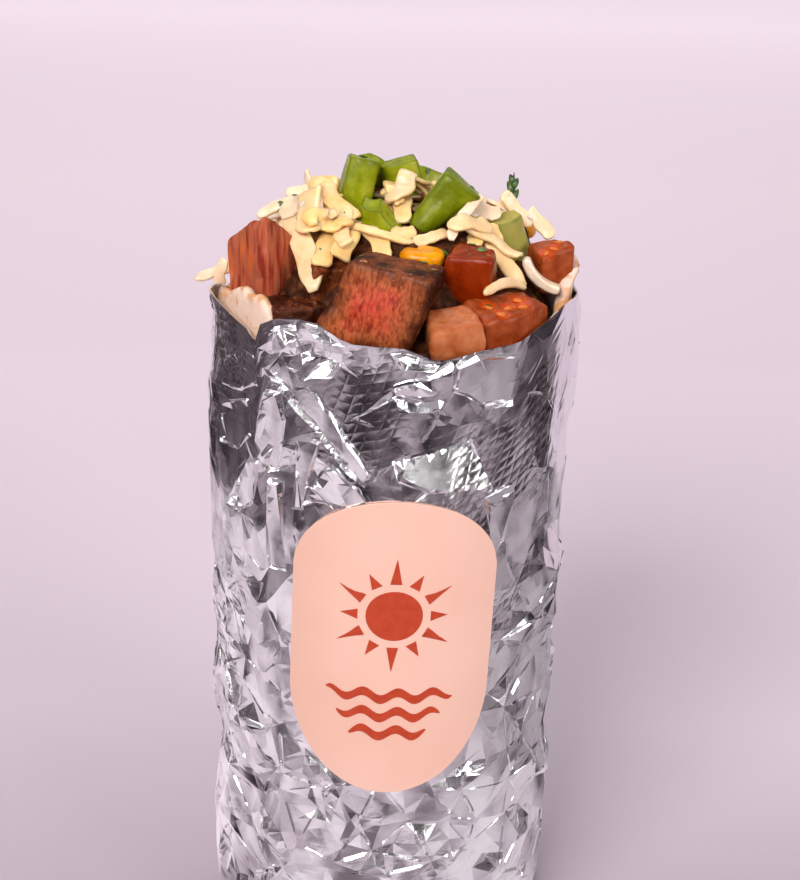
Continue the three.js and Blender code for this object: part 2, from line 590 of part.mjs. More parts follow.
const FINISHES = {
  foil: { color: 0xd9d8dc, roughness: 0.2, metalness: 1 },
  tortilla: { color: 0xe9d3ab, roughness: 0.75, metalness: 0 },
  filling: { color: 0xe8d9a8, roughness: 0.5, metalness: 0 },
  label: { color: 0xf4bb9c, roughness: 0.6, metalness: 0 },
  steak: { color: 0x9a5040, roughness: 0.45, metalness: 0 },
  tomato: { color: 0xb8391c, roughness: 0.25, metalness: 0 },
  pepper: { color: 0x7c9f22, roughness: 0.3, metalness: 0 },
  corn: { color: 0xf0b21c, roughness: 0.3, metalness: 0 },
  onion: { color: 0xe6dccb, roughness: 0.35, metalness: 0 },
  herb: { color: 0x4d6b33, roughness: 0.6, metalness: 0 },
};

function namedMesh(name, geometry, finish) {
  const mesh = new THREE.Mesh(geometry, new THREE.MeshStandardMaterial(FINISHES[finish]));
  mesh.name = name;
  return mesh;
}

// Each piece of food is cut back from those before it, and the tortilla and the filling from all of them.
function buildBurrito() {
  const burrito = new THREE.Group();
  burrito.add(namedMesh("foil_wrap", foilGeometry(), "foil"));
  burrito.add(namedMesh("label", labelGeometry(), "label"));

  const insideFoil = solidOf(
    new THREE.CylinderGeometry(TORTILLA_OUTER_RADIUS, TORTILLA_OUTER_RADIUS, 400, 96).rotateX(Math.PI / 2),
  );
  const cutters = [];
  for (const [name, topping] of Object.entries(TOPPINGS)) {
    const whole = toppingSolid(topping).intersect(insideFoil);
    const piece = largestBody(subtractAll(whole, cutters));
    burrito.add(namedMesh(name, geometryOf(piece), topping.kind));
    cutters.push(toppingSolid(topping, GAP));
  }
  const sprig = largestBody(subtractAll(solidOf(sprigGeometry()), cutters));
  burrito.add(namedMesh("herb_sprig", geometryOf(sprig), "herb"));
  const tortilla = largestBody(subtractAll(solidOf(tortillaGeometry()), cutters));
  burrito.add(namedMesh("tortilla", geometryOf(tortilla), "tortilla"));
  const filling = fillingSolid([...cutters, solidOf(sprigGeometry(GAP))]);
  burrito.add(namedMesh("filling", geometryOf(filling), "filling"));
  return burrito;
}

export default buildBurrito();
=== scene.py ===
# The looks of a burrito in a foil wrap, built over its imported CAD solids.
# Lengths in this script are millimetres until a mesh is made, which turns them into metres. Materials, the
# camera and the lights are in metres.
# The axes are the CAD's: +Z up along the burrito, -Y towards the label, and the origin under its middle.
# An angle round the burrito, phi, is 0 at -Y and grows towards +X.

import json
import math

import bpy
import numpy as np
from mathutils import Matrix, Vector
from mathutils.bvhtree import BVHTree
from mathutils.geometry import delaunay_2d_cdt

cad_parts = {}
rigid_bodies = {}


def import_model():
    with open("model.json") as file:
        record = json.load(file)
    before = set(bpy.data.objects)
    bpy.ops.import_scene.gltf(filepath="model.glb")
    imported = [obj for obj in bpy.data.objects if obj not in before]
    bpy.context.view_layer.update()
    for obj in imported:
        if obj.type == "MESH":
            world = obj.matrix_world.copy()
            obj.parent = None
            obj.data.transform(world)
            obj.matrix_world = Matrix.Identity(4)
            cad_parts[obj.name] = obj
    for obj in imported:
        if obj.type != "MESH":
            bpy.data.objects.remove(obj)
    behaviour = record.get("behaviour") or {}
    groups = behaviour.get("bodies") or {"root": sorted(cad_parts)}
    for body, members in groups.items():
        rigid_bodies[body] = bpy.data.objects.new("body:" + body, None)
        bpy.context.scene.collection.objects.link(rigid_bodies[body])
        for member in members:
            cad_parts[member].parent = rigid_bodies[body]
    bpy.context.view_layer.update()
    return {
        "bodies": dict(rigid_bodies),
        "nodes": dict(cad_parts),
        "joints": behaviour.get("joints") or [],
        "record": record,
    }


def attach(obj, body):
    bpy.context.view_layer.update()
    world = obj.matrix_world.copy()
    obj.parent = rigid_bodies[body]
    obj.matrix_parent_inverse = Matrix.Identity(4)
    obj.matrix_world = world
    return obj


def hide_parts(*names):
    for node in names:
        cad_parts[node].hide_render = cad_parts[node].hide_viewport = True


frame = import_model()

MM = 0.001

# ---- Dimensions that the CAD part states ----

WRAP_RADIUS = 36.0
FOIL_INNER_RADIUS = 34.7
FOIL_FLOOR = 1.2
FOOT_RADIUS = 28.0
FOOT_SIDES = 10
FOOT_CORNER_HEIGHT = 7.0
TORTILLA_OUTER_RADIUS = 34.4
TORTILLA_THICKNESS = 3.0
FILLING_RADIUS = 31.1
HEAP_EDGE_HEIGHT = 141.0
HEAP_RISE = 19.0
HEAP_LUMP = 0.7
CHEESE_PILES = [(-15, 5, 4, 6), (24, 7.5, 6.5, 4.2), (23, -4.5, -4.5, 4.2)]

LABEL_HALF_WIDTH = 19.8
LABEL_HALF_HEIGHT = 31.8
LABEL_TOP_END = 16.0  # height of the rounded upper end
LABEL_BOTTOM_END = 23.3  # height of the rounded lower end
LABEL_CENTRE_HEIGHT = 84.0
LABEL_TURN = 0.045
LABEL_TILT = 0.03
LABEL_RADIUS = 36.35
LABEL_THICKNESS = 0.4

# The torn edge of the foil and the edge of the tortilla: (degrees round the burrito, height).
FOIL_EDGE = [
    (-180, 145), (-158, 147), (-140, 143), (-125, 140.5), (-110, 140), (-98, 142.5), (-88, 145),
    (-74, 146.8), (-61, 146), (-50, 145), (-42, 143), (-38, 147), (-31, 148.6), (-22, 149.4),
    (-17, 148.2), (-12, 146), (1, 145.6), (14, 143), (26, 144), (40, 144), (53, 146.6), (62, 148.6),
    (72, 147.8), (90, 145.6), (118, 147.5), (150, 144.5),
]
TORTILLA_EDGE = [
    (-180, 150), (-158, 150.5), (-138, 146), (-124, 142.5), (-110, 141), (-98, 143), (-82, 144),
    (-68, 147), (-56, 150.2), (-50, 151), (-45, 150.4), (-41, 148.4), (-33, 141), (20, 139.5), (50, 140),
    (70, 144), (84, 151), (104, 150.5), (130, 147.5), (158, 151),
]


# ---- Numbers and curves ----


def smoothstep(value, low, high):
    share = np.clip((np.asarray(value, float) - low) / (high - low), 0, 1)
    return share * share * (3 - 2 * share)


def edge_height(edge, phi):
    """Height of an edge at angles phi, eased between the stated points beside each."""
    degrees = (np.degrees(phi) + 180) % 360 - 180
    angles = np.array([a for a, _ in edge] + [edge[0][0] + 360], float)
    heights = np.array([h for _, h in edge] + [edge[0][1]], float)
    i = np.clip(np.searchsorted(angles, degrees, side="right") - 1, 0, len(edge) - 1)
    share = (degrees - angles[i]) / (angles[i + 1] - angles[i])
    return heights[i] + (heights[i + 1] - heights[i]) * share * share * (3 - 2 * share)


def points_at(phi, radius, height):
    """Points from angles, radii and heights, one row each."""
    phi, radius, height = np.broadcast_arrays(phi, radius, height)
    return np.stack([radius * np.sin(phi), -radius * np.cos(phi), height], -1)


def hashed(lattice, seed):
    """A repeatable random number from 0 to 1 for each whole-number point."""
    x, y, z = (lattice[..., k].astype(np.int64) for k in range(3))
    n = (x * 73856093) ^ (y * 19349663) ^ (z * 83492791) ^ (seed * 2654435761)
    n = (n ^ (n >> 13)) & 0xFFFFFFFF
    n = (n * 1274126177) & 0xFFFFFFFF
    n = (n ^ (n >> 16)) & 0xFFFFFFFF
    return n / 4294967296.0


def noise(points, size, seed, octaves=1):
    """Smooth noise from -1 to 1 over points, with lumps of the stated size in mm."""
    total = np.zeros(points.shape[:-1])
    weight = 1.0
    for octave in range(octaves):
        scaled = points / size * 2**octave
        low = np.floor(scaled)
        share = smoothstep(scaled - low, 0, 1)
        blend = np.zeros(points.shape[:-1])
        for corner in range(8):
            offset = np.array([corner & 1, (corner >> 1) & 1, (corner >> 2) & 1])
            reach = np.prod(np.where(offset, share, 1 - share), -1)
            blend += reach * hashed(low + offset, seed + octave)
        total += weight * (2 * blend - 1)
        weight /= 2
    return total


def noise_vectors(points, size, seed, octaves=1):
    """Smooth noise in all three directions."""
    return np.stack([noise(points, size, seed + k, octaves) for k in range(3)], -1)


def signed_power(values, power):
    """Squares off a wave: its values raised to a power, with their sign kept."""
    return np.sign(values) * np.abs(values) ** power


def unit_rows(vectors):
    return vectors / np.linalg.norm(vectors, axis=-1, keepdims=True)


def cross2(a, b):
    """The cross product of flat vectors, a number each."""
    return a[..., 0] * b[..., 1] - a[..., 1] * b[..., 0]


def inside_outline(points, outline, slack=0.0):
    """Which of the flat points lie inside an outline, or up to slack to the right of it."""
    x, y = points.T
    inside = np.zeros(len(points), bool)
    for (ax, ay), (bx, by) in zip(outline, np.roll(outline, -1, 0)):
        if ay != by:
            crosses = (y < ay) != (y < by)
            inside ^= crosses & (x < ax + (y - ay) * (bx - ax) / (by - ay) + slack)
    return inside


def in_odd_number(points, outlines):
    """Which of the flat points lie inside an odd number of the outlines."""
    return sum(inside_outline(points, outline).astype(int) for outline in outlines) % 2 == 1


# ---- Meshes ----


def add_object(name, data):
    added = bpy.data.objects.new(name, data)
    bpy.context.scene.collection.objects.link(added)
    return added


def mesh_object(name, points, faces, material, sharp_degrees=None):
    """A mesh piece from points in mm. Edges sharper than sharp_degrees stay sharp."""
    mesh = bpy.data.meshes.new(name)
    mesh.from_pydata((np.asarray(points) * MM).tolist(), [], faces)
    mesh.validate()
    mesh.shade_smooth()
    if sharp_degrees is not None:
        mesh.set_sharp_from_angle(angle=math.radians(sharp_degrees))
    mesh.materials.append(material)
    return add_object(name, mesh)


def store(piece, **named):
    """Keeps a number or a vector for each vertex, which the piece's material reads by name."""
    for name, values in named.items():
        values = np.asarray(values, np.float32)
        kind, field = ("FLOAT", "value") if values.ndim == 1 else ("FLOAT_VECTOR", "vector")
        piece.data.attributes.new(name, kind, "POINT").data.foreach_set(field, values.ravel())


def ride_as(piece, slot, *nodes):
    """The piece belongs to the burrito and stands for nodes, which are hidden. slot is not used."""
    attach(piece, "root")
    if nodes:
        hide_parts(*nodes)
    return piece


def ring_angles(steps):
    return np.arange(steps) / steps * 2 * math.pi


def loop_edges(count, first=0):
    """The edges of a closed loop of count points, numbered from first."""
    return [(first + i, first + (i + 1) % count) for i in range(count)]


def ringed_faces(rows, steps):
    """Quads between rings of points, each ring closed on itself."""
    firsts = range(0, (rows - 1) * steps, steps)
    return [(a, b, b + steps, a + steps) for first in firsts for a, b in loop_edges(steps, first)]


def capped_rings(rings, ends):
    """A closed mesh through rings of points, with a fan of triangles to a middle point at each end."""
    steps = len(rings[0])
    points = np.concatenate([*rings, np.array(ends)])
    last = (len(rings) - 1) * steps
    faces = ringed_faces(len(rings), steps)
    for a, b in loop_edges(steps):
        faces += [(b, a, len(points) - 2), (last + a, last + b, len(points) - 1)]
    return points, faces


def triangulated(points, edges, nearest=1e-5):
    """A flat mesh through points and edges: points, edges, triangles and the given points at each point."""
    found = delaunay_2d_cdt([Vector(p) for p in points], list(edges), [], 0, nearest)
    return np.array([tuple(v) for v in found[0]]), *found[1:4]


def merged(parts):
    """Several meshes as one: (points, faces) from a list of them."""
    points, faces, count = [], [], 0
    for part_points, part_faces in parts:
        points.append(part_points)
        faces += [tuple(i + count for i in face) for face in part_faces]
        count += len(part_points)
    return np.concatenate(points), faces


# ---- Materials ----


class Look:
    """A material's node tree, built up one node at a time."""

    def __init__(self, name, attribute=None):
        """Its patterns lie in the object's own metres, or in a vector that the object stores."""
        self.material = bpy.data.materials.new(name)
        self.material.use_nodes = True
        self.tree = self.material.node_tree
        self.shader = self.tree.nodes["Principled BSDF"]
        self.here = self.vector(attribute) if attribute else self.add("TexCoord").outputs["Object"]

    def add(self, kind, inputs=None, **settings):
        """A node with its settings and inputs. An input is a number, a colour or another node's socket."""
        node = self.tree.nodes.new("ShaderNode" + kind)
        for key, value in settings.items():
            setattr(node, key, value)
        for key, value in (inputs or {}).items():
            self.put(node.inputs[key], value)
        return node

    def put(self, socket, value):
        if isinstance(value, bpy.types.NodeSocket):
            self.tree.links.new(value, socket)
        elif isinstance(value, tuple) and socket.type == "RGBA" and len(value) == 3:
            socket.default_value = (*value, 1)
        else:
            socket.default_value = value

    def surface(self, subsurface=(), coat=(), **inputs):
        """Sets the shader's inputs, named as in Blender but with _ for a space, and returns the material.
        subsurface is (weight, radius, scale) and coat is (weight, roughness)."""
        inputs.update(zip(("Subsurface_Weight", "Subsurface_Radius", "Subsurface_Scale"), subsurface))
        inputs.update(zip(("Coat_Weight", "Coat_Roughness"), coat))
        for key, value in inputs.items():
            self.put(self.shader.inputs[key.replace("_", " ")], value)
        return self.material

    def vector(self, attribute):
        """A vector stored for each vertex."""
        return self.add("Attribute", attribute_name=attribute).outputs["Vector"]

    def number(self, attribute):
        """A number stored for each vertex."""
        return self.add("Attribute", attribute_name=attribute).outputs["Fac"]

    def stretched(self, *scale):
        return self.add("Mapping", {"Vector": self.here, "Scale": scale}).outputs["Vector"]

    def noise(self, scale, detail, roughness=0.5, at=None):
        inputs = {"Vector": at or self.here, "Scale": scale, "Detail": detail, "Roughness": roughness}
        return self.add("TexNoise", inputs).outputs["Fac"]

    def cells(self, scale):
        return self.add("TexVoronoi", {"Vector": self.here, "Scale": scale}).outputs["Distance"]

    def axis(self, vector, name):
        """One of a vector's numbers: X, Y or Z."""
        return self.add("SeparateXYZ", {"Vector": vector}).outputs[name]

    def ramp(self, factor, *stops):
        """Colours or numbers by position along a ramp: (position, value) pairs."""
        node = self.add("ValToRGB", {"Fac": factor})
        ramp = node.color_ramp
        while len(ramp.elements) < len(stops):
            ramp.elements.new(0.5)
        for element, (position, value) in zip(ramp.elements, stops):
            element.position = position
            element.color = (*value, 1) if isinstance(value, tuple) else (value, value, value, 1)
        return node.outputs["Color"]

    def colours(self, factor, *stops):
        """A ramp of sRGB colours: (position, red, green, blue)."""
        return self.ramp(factor, *srgb_stops(*stops))

    def patches(self, scale, detail, *stops):
        """A ramp over a noise pattern."""
        return self.ramp(self.noise(scale, detail), *stops)

    def mix(self, factor, first, second, blend="MIX"):
        inputs = {0: factor, 6: first, 7: second}
        return self.add("Mix", inputs, data_type="RGBA", blend_type=blend).outputs[2]

    def math(self, operation, *values):
        return self.add("Math", dict(enumerate(values)), operation=operation).outputs[0]

    def eased(self, value, start_end, results=(0, 1)):
        """Goes from one result to the other as the value goes from start to end."""
        keys = ("From Min", "From Max", "To Min", "To Max")
        inputs = {"Value": value, **dict(zip(keys, (*start_end, *results)))}
        return self.add("MapRange", inputs).outputs["Result"]

    def bump(self, height, depth_mm, normal=None):
        """Relief from a height that runs from 0 to 1, depth_mm deep."""
        inputs = {"Height": height, "Distance": depth_mm * MM}
        if normal is not None:
            inputs["Normal"] = normal
        return self.add("Bump", inputs).outputs["Normal"]


def srgb(red, green, blue):
    """A linear colour from sRGB values from 0 to 255."""
    return tuple(
        c / 12.92 if c <= 0.04045 else ((c + 0.055) / 1.055) ** 2.4
        for c in (red / 255, green / 255, blue / 255)
    )


def srgb_stops(*stops):
    return [(position, srgb(*colour)) for position, *colour in stops]


# ---- Random numbers as the CAD part draws them ----


def random_source(seed):
    mask = 0xFFFFFFFF
    state = seed

    def draw():
        nonlocal state
        state = (state + 0x6D2B79F5) & mask
        t = ((state ^ (state >> 15)) * (state | 1)) & mask
        t ^= (t + (t ^ (t >> 7)) * (t | 61)) & mask
        return ((t ^ (t >> 14)) & mask) / 4294967296

    return draw


# ---- The foil ----

WALL_LENGTH = 2 * math.pi * WRAP_RADIUS  # round the wall
WALL_HEIGHT = 146.0  # nominal, along the wall; the real edge follows FOIL_EDGE
FOIL_FOLD = 0.75
FOIL_LIP = 0.35
LIP_MIDDLE = -0.46  # angle at the middle of the stretch where the edge is rolled outwards
LIP_HALF_ANGLE = 0.27
LIP_RISE = 1.3
LIP_LIFT = 0.7

# Crumpling, coarse to fine: (spacing of creases, how far they stand in or out, share that do, seed).
CRUMPLES = [(17.0, 1.0, 1.0, 1), (8.5, 1.05, 1.0, 2), (4.4, 0.7, 0.16, 4)]
CREASE_JITTER = 0.42  # how far a point of the creases' lattice moves, as a share of its spacing
# Thin ridges along the creases of the second crumpling: spacing, height, half width, seed.
RIDGES = (8.5, 0.32, 0.42, 2)
RIDGE_CHANCE = (0.08, 0.36)  # how likely a crease has one on smooth foil, and more on crumpled foil
# The front gets smoother between these heights and angles, and fine creases get deeper between the last two.
SMOOTH_HEIGHTS = (84, 104)
SMOOTH_ANGLES = (1.9, 1.2)
CRUMPLED_HEIGHTS = (100, 60)
FINE_SPACING = 10  # closer creases than this are fine ones
WALL_RELIEF = (-0.45, 0.9)  # beyond these offsets from the plain wall the creases are flattened
FLATTENED = 0.4  # to this share
# A side where they stand out less: degrees round the burrito, height, by how much, and its reach both ways.
SLIM_SIDE = (-92, 95, 0.9, 28, 24)

# Flat folds that lie over the crumpled wall: (slope across, slope up, rise at the middle, outline in
# degrees round the burrito and height, and where it isn't FOLD_BORDER, the width of the crease round it).
FOLDS = [
    (0.1, 0.1, -0.06, [(-37, 138.2), (-32.6, 135.6), (-26.7, 131.8), (-19.1, 127), (-10.8, 121.3),
        (-7, 119.2), (-5.8, 121), (-9.3, 124.2), (-13.9, 128.2), (-19.1, 132.7), (-23.4, 135.9),
        (-27.9, 138.6), (-33, 140.4)], 1.0),
    (0.05, 0.2, 0.2, [(-12, 130.6), (1.1, 137.6), (17.2, 141.9), (17.5, 137.9), (1.7, 136.4)]),
    (0.0, 0.19, 0.3, [(19, 141.6), (24.9, 142.9), (38.6, 141.8), (38.6, 132.3), (29.1, 133),
        (23.1, 136.1), (18.9, 137)]),
    (0.02, -0.3, 0.3, [(1.4, 135.7), (18, 136), (14.2, 134), (2.9, 133.4)]),
    (0.1, -0.26, 0.3, [(2, 123.3), (11.9, 125.1), (23.8, 127.3), (31.3, 116.4), (24.6, 117.8),
        (3.5, 119.9)]),
    (0.0, 0.12, 0.2, [(-26, 112.6), (-18.4, 120.6), (-14.8, 121), (-8.8, 117.8), (-6.6, 115.6),
        (-14.4, 114.2)]),
    (0.0, 0.09, 0.3, [(-27.4, 125.8), (-20.4, 126), (-23.6, 120.4), (-26.4, 112), (-29.2, 111.8),
        (-27.6, 118.8)]),
    (0.0, 0.12, 0.3, [(-38, 133.6), (-34, 134), (-32.4, 129), (-33.6, 124), (-35.4, 118.4),
        (-38.4, 117.8), (-40.6, 120), (-43, 123), (-41, 127.5)]),
    (0.0, 0.12, 0.2, [(-45.6, 118.4), (-42.6, 118.6), (-45, 110), (-51.1, 106.7), (-58.1, 106.3),
        (-52, 111)]),
    (-0.06, 0.1, 0.3, [(-37.4, 115.8), (-34, 115.8), (-32.6, 98), (-38.4, 97.6)]),
    (0.1, 0.17, 0.2, [(30.8, 114.1), (39.8, 115.1), (37.6, 104.8), (35, 102.2)]),
    (-0.08, -0.32, 0.2, [(-33.6, 146.2), (-26.4, 148), (-26.6, 145.8), (-29.4, 144.3)]),
    (-0.09, -0.36, 0.2, [(-23.4, 148.4), (-17.4, 147.4), (-13.4, 145.6), (-17.4, 145.4), (-20.4, 146.4)]),
    (0.0, -0.3, 0.3, [(-25.6, 144.9), (-22.6, 145), (-22.8, 142.6), (-24.9, 141.2)]),
    (-0.09, -0.34, 0.3, [(-23.9, 138.4), (-17.6, 139.2), (-14.2, 142.6), (-11.8, 144), (-16.4, 142.8),
        (-20.9, 140.4)]),
    (0.0, -0.28, 0.3, [(0.4, 144.2), (7.6, 143.2), (13, 141.9), (12.2, 141.4), (3.4, 141.6)]),
    (0.03, -0.03, 0.1, [(-59.9, 136.3), (-48.6, 139.2), (-43.1, 139.4), (-43.2, 134.7), (-50.4, 131.9),
        (-61, 130.8)]),
    (0.0, 0.01, 0.1, [(-62.2, 126), (-46.5, 130.2), (-46, 123.8), (-51.9, 119.8), (-62.8, 118.4)]),
]
FOLD_BORDER = 0.6  # width of the crease round a fold
FOLD_FLATNESS = 0.75  # how much of the crumpling a fold's face presses out
EMBOSS = [(104, 1.8), (-18, 2.2)]  # pressed rows: (direction in degrees across them, spacing)


class Creases:
    """A creased sheet over the unrolled wall: flat triangles between scattered points."""

    def __init__(self, points, values, edges):
        self.points, self.edges, faces, sources = triangulated(points, edges)
        self.values = np.array([values[s[0]] if s else 0.0 for s in sources])
        self.faces = np.array(faces)
        self.tree = BVHTree.FromPolygons([(*p, 0.0) for p in self.points], faces)

    def at(self, points):
        faces = np.array([self.tree.find_nearest((x, y, 0.0))[2] for x, y in points])
        a, b, c = (self.points[self.faces[faces, k]] for k in range(3))
        whole = cross2(b - a, c - a)
        share_b = cross2(points - a, c - a) / whole
        share_c = cross2(b - a, points - a) / whole
        va, vb, vc = (self.values[self.faces[faces, k]] for k in range(3))
        return va + (vb - va) * share_b + (vc - va) * share_c


def wall_frame(spacing=30):
    """Points along the four sides of the unrolled wall, and the edges that join them."""
    across = max(2, round(WALL_LENGTH / spacing))
    up = max(2, round(WALL_HEIGHT / spacing))
    xs = np.linspace(0, WALL_LENGTH, across + 1)
    ys = np.linspace(0, WALL_HEIGHT, up + 1)
    loop = [(x, 0.0) for x in xs] + [(WALL_LENGTH, y) for y in ys[1:]]
    loop += [(x, WALL_HEIGHT) for x in xs[-2::-1]] + [(0.0, y) for y in ys[-2:0:-1]]
    return loop, loop_edges(len(loop))


def crumple(spacing, depth, share, seed):
    """A crumpled sheet: its points stand in or out by up to depth, or a share of them by depth."""
    rng = np.random.default_rng(seed)
    loop, edges = wall_frame(spacing)
    inner = []
    # A triangular lattice, with each point moved at random.
    lowest, highest = 0.3 * spacing, np.array([WALL_LENGTH, WALL_HEIGHT]) - 0.3 * spacing
    for row, y in enumerate(np.arange(spacing * 0.8, WALL_HEIGHT - spacing * 0.4, spacing * 0.87)):
        start = spacing * (0.6 + 0.5 * (row % 2))
        for x in np.arange(start, WALL_LENGTH - spacing * 0.4, spacing):
            moved = (x, y) + rng.uniform(-CREASE_JITTER, CREASE_JITTER, 2) * spacing
            inner.append(np.clip(moved, lowest, highest))
    points = np.array(loop + inner)
    reach = depth * crumple_depth(points, spacing)
    values = rng.uniform(-1, 1, len(points)) * reach
    if share < 1:
        values = np.sign(values) * reach * (rng.uniform(0, 1, len(points)) < share)
    seam = {round(y, 6): v for (x, y), v in zip(points, values) if x == 0}
    for i, (x, y) in enumerate(points):
        if x == WALL_LENGTH:
            values[i] = seam[round(y, 6)]
    return Creases(points, values, edges)


def ridges(crumpled):
    """Thin pinched ridges along most creases of a crumpled sheet, on a flat ground."""
    spacing, rise, half_width, seed = RIDGES
    rng = np.random.default_rng(seed)
    loop, edges = wall_frame()
    points, values = list(loop), [0.0] * len(loop)
    ends = crumpled.points[np.array([tuple(e) for e in crumpled.edges])]
    middles = ends.mean(1)
    depth = crumple_depth(middles, spacing)
    plain_chance, crumpled_chance = RIDGE_CHANCE
    for (start, end), middle, strong in zip(ends, middles, depth):
        length = np.linalg.norm(end - start)
        inside = 3 < middle[0] < WALL_LENGTH - 3 and 4 < middle[1] < WALL_HEIGHT - 3
        if not inside or length > 2.5 * spacing or rng.uniform() > plain_chance + crumpled_chance * strong:
            continue
        along = (end - start) / length
        side = np.array([-along[1], along[0]]) * half_width * rng.uniform(0.5, 1.3)
        first, last = start + along * length * 0.16, end - along * length * 0.16
        height = rise * strong * rng.choice([-1, 1]) * rng.uniform(0.4, 1.2)
        at = len(points)
        points += [tuple(p) for p in (
            first, first + side + along, last + side - along, last, last - side - along,
            first - side + along, first + along * 0.8, last - along * 0.8,
        )]
        values += [0] * 6 + [height] * 2
        edges += [*loop_edges(6, at), (at + 6, at + 7)]
    return Creases(points, values, edges)


def offset_outline(outline, distance):
    """The outline moved outwards by distance, along the mean of the two edges' normals at each corner."""
    before, after = outline - np.roll(outline, 1, 0), np.roll(outline, -1, 0) - outline
    x, y = (unit_rows(before) + unit_rows(after)).T
    mean = np.stack([y, -x], -1) * np.sign(cross2(before, after).sum())
    mean /= np.maximum(np.linalg.norm(mean, axis=1, keepdims=True), 0.4)
    return outline + mean * distance


def fold_corners(outline):
    """A fold's outline on the unrolled wall, in mm."""
    degrees, height = np.array(outline, float).T
    phi = np.radians(degrees)
    return np.stack([(phi + math.pi) * WRAP_RADIUS, height * WALL_HEIGHT / edge_height(FOIL_EDGE, phi)], -1)


def folded_patches():
    """The flat folds, each with a narrow border that falls back to the wall."""
    loop, edges = wall_frame()
    points, values = list(loop), [0.0] * len(loop)
    for across, up, rise, outline, *border in FOLDS:
        corners = fold_corners(outline)
        outer = offset_outline(corners, *(border or [FOLD_BORDER]))
        from_middle = corners - corners.mean(0)
        tilted = rise + from_middle @ np.array([across, up])
        for ring, depth, below_edge in ((corners, tilted, 0.1), (outer, tilted * 0, 0.03)):
            ring[:, 1] = np.minimum(ring[:, 1], WALL_HEIGHT - below_edge)
            first = len(points)
            points += [tuple(p) for p in ring]
            values += list(depth)
            edges += loop_edges(len(ring), first)
    return Creases(points, values, edges)


def in_folds(points):
    """Which points of the unrolled wall lie in a fold's flat face, and which in an upturned one."""
    inside, upturned = np.zeros((2, len(points)), bool)
    for _, up, _, outline, *_ in FOLDS:
        within = inside_outline(points, fold_corners(outline), 1e-3)
        inside |= within
        upturned |= within & (up > 0)
    return inside, upturned


def crumple_depth(points, spacing):
    """The foil is smoother in front near its edge and more finely crumpled lower down."""
    phi = points[:, 0] / WRAP_RADIUS - math.pi
    height = points[:, 1]
    smooth_front = smoothstep(height, *SMOOTH_HEIGHTS) * smoothstep(np.abs(phi), *SMOOTH_ANGLES)
    fine = spacing < FINE_SPACING
    depth = 1 - (0.66 if fine else 0.5) * smooth_front
    near_edge = smoothstep(height, WALL_HEIGHT - 4, WALL_HEIGHT - 1)
    low = 1 + 0.35 * smoothstep(height, *CRUMPLED_HEIGHTS) * fine
    edge_crumple = (0.6 * near_edge + 1.3 * lip_share(phi, height)) if fine else 0
    return (depth * low + edge_crumple) * (0.15 + 0.85 * label_press(phi, height))


def lip_share(phi, height):
    """1 where the torn edge is rolled outwards, falling to 0. height is along the unrolled wall."""
    along = np.clip(1 - ((phi - LIP_MIDDLE) / LIP_HALF_ANGLE) ** 2, 0, 1)
    return along * smoothstep(height, WALL_HEIGHT - 6, WALL_HEIGHT - 2.5)


def label_press(phi, height):
    """0 where the label holds the foil flat, rising to 1 round it."""
    across = WRAP_RADIUS * (phi - LABEL_TURN) / (LABEL_HALF_WIDTH + 2)
    along = (height - LABEL_CENTRE_HEIGHT) / (LABEL_HALF_HEIGHT + 2)
    return smoothstep(np.hypot(across, along), 0.95, 1.15)


def broad_folds(phi, height):
    """The CAD wall's broad folds: random values on a slanting lattice, blended between its points."""
    columns, row_height, slant = 17, 13.0, 0.45
    draw = random_source(5)
    rows = math.ceil(160 / row_height) + 2
    values = np.array([[draw() * 2 - 1 for _ in range(columns)] for _ in range(rows)])
    row = height / row_height
    column = (phi / (2 * math.pi) * columns + slant * row) % columns
    r, c = np.floor(row).astype(int), np.floor(column).astype(int) % columns
    following = (c + 1) % columns
    across, up = column - np.floor(column), row - np.floor(row)
    below = values[r, c] * (1 - across) + values[r, following] * across
    above = values[r + 1, c] * (1 - across) + values[r + 1, following] * across
    return below * (1 - up) + above * up


def foot_radius(phi):
    """The foot is a polygon with FOOT_SIDES sides."""
    side = 2 * math.pi / FOOT_SIDES
    from_middle = phi % side - side / 2
    return FOOT_RADIUS * math.cos(side / 2) / np.cos(from_middle)


def wall_radius(phi, height):
    """The wall's radius before it is crumpled."""
    share = np.clip(height / FOOT_CORNER_HEIGHT, 0, 1)
    corner = foot_radius(phi) + (WRAP_RADIUS - foot_radius(phi)) * np.sqrt(share * (2 - share))
    swell = 0.25 * np.sin(2 * phi + 0.5 + height / 38) - 0.3 * np.sin(3 * phi - height / 23)
    folds = FOIL_FOLD * broad_folds(phi, height)
    return corner + (swell + folds) * label_press(phi, height) * share


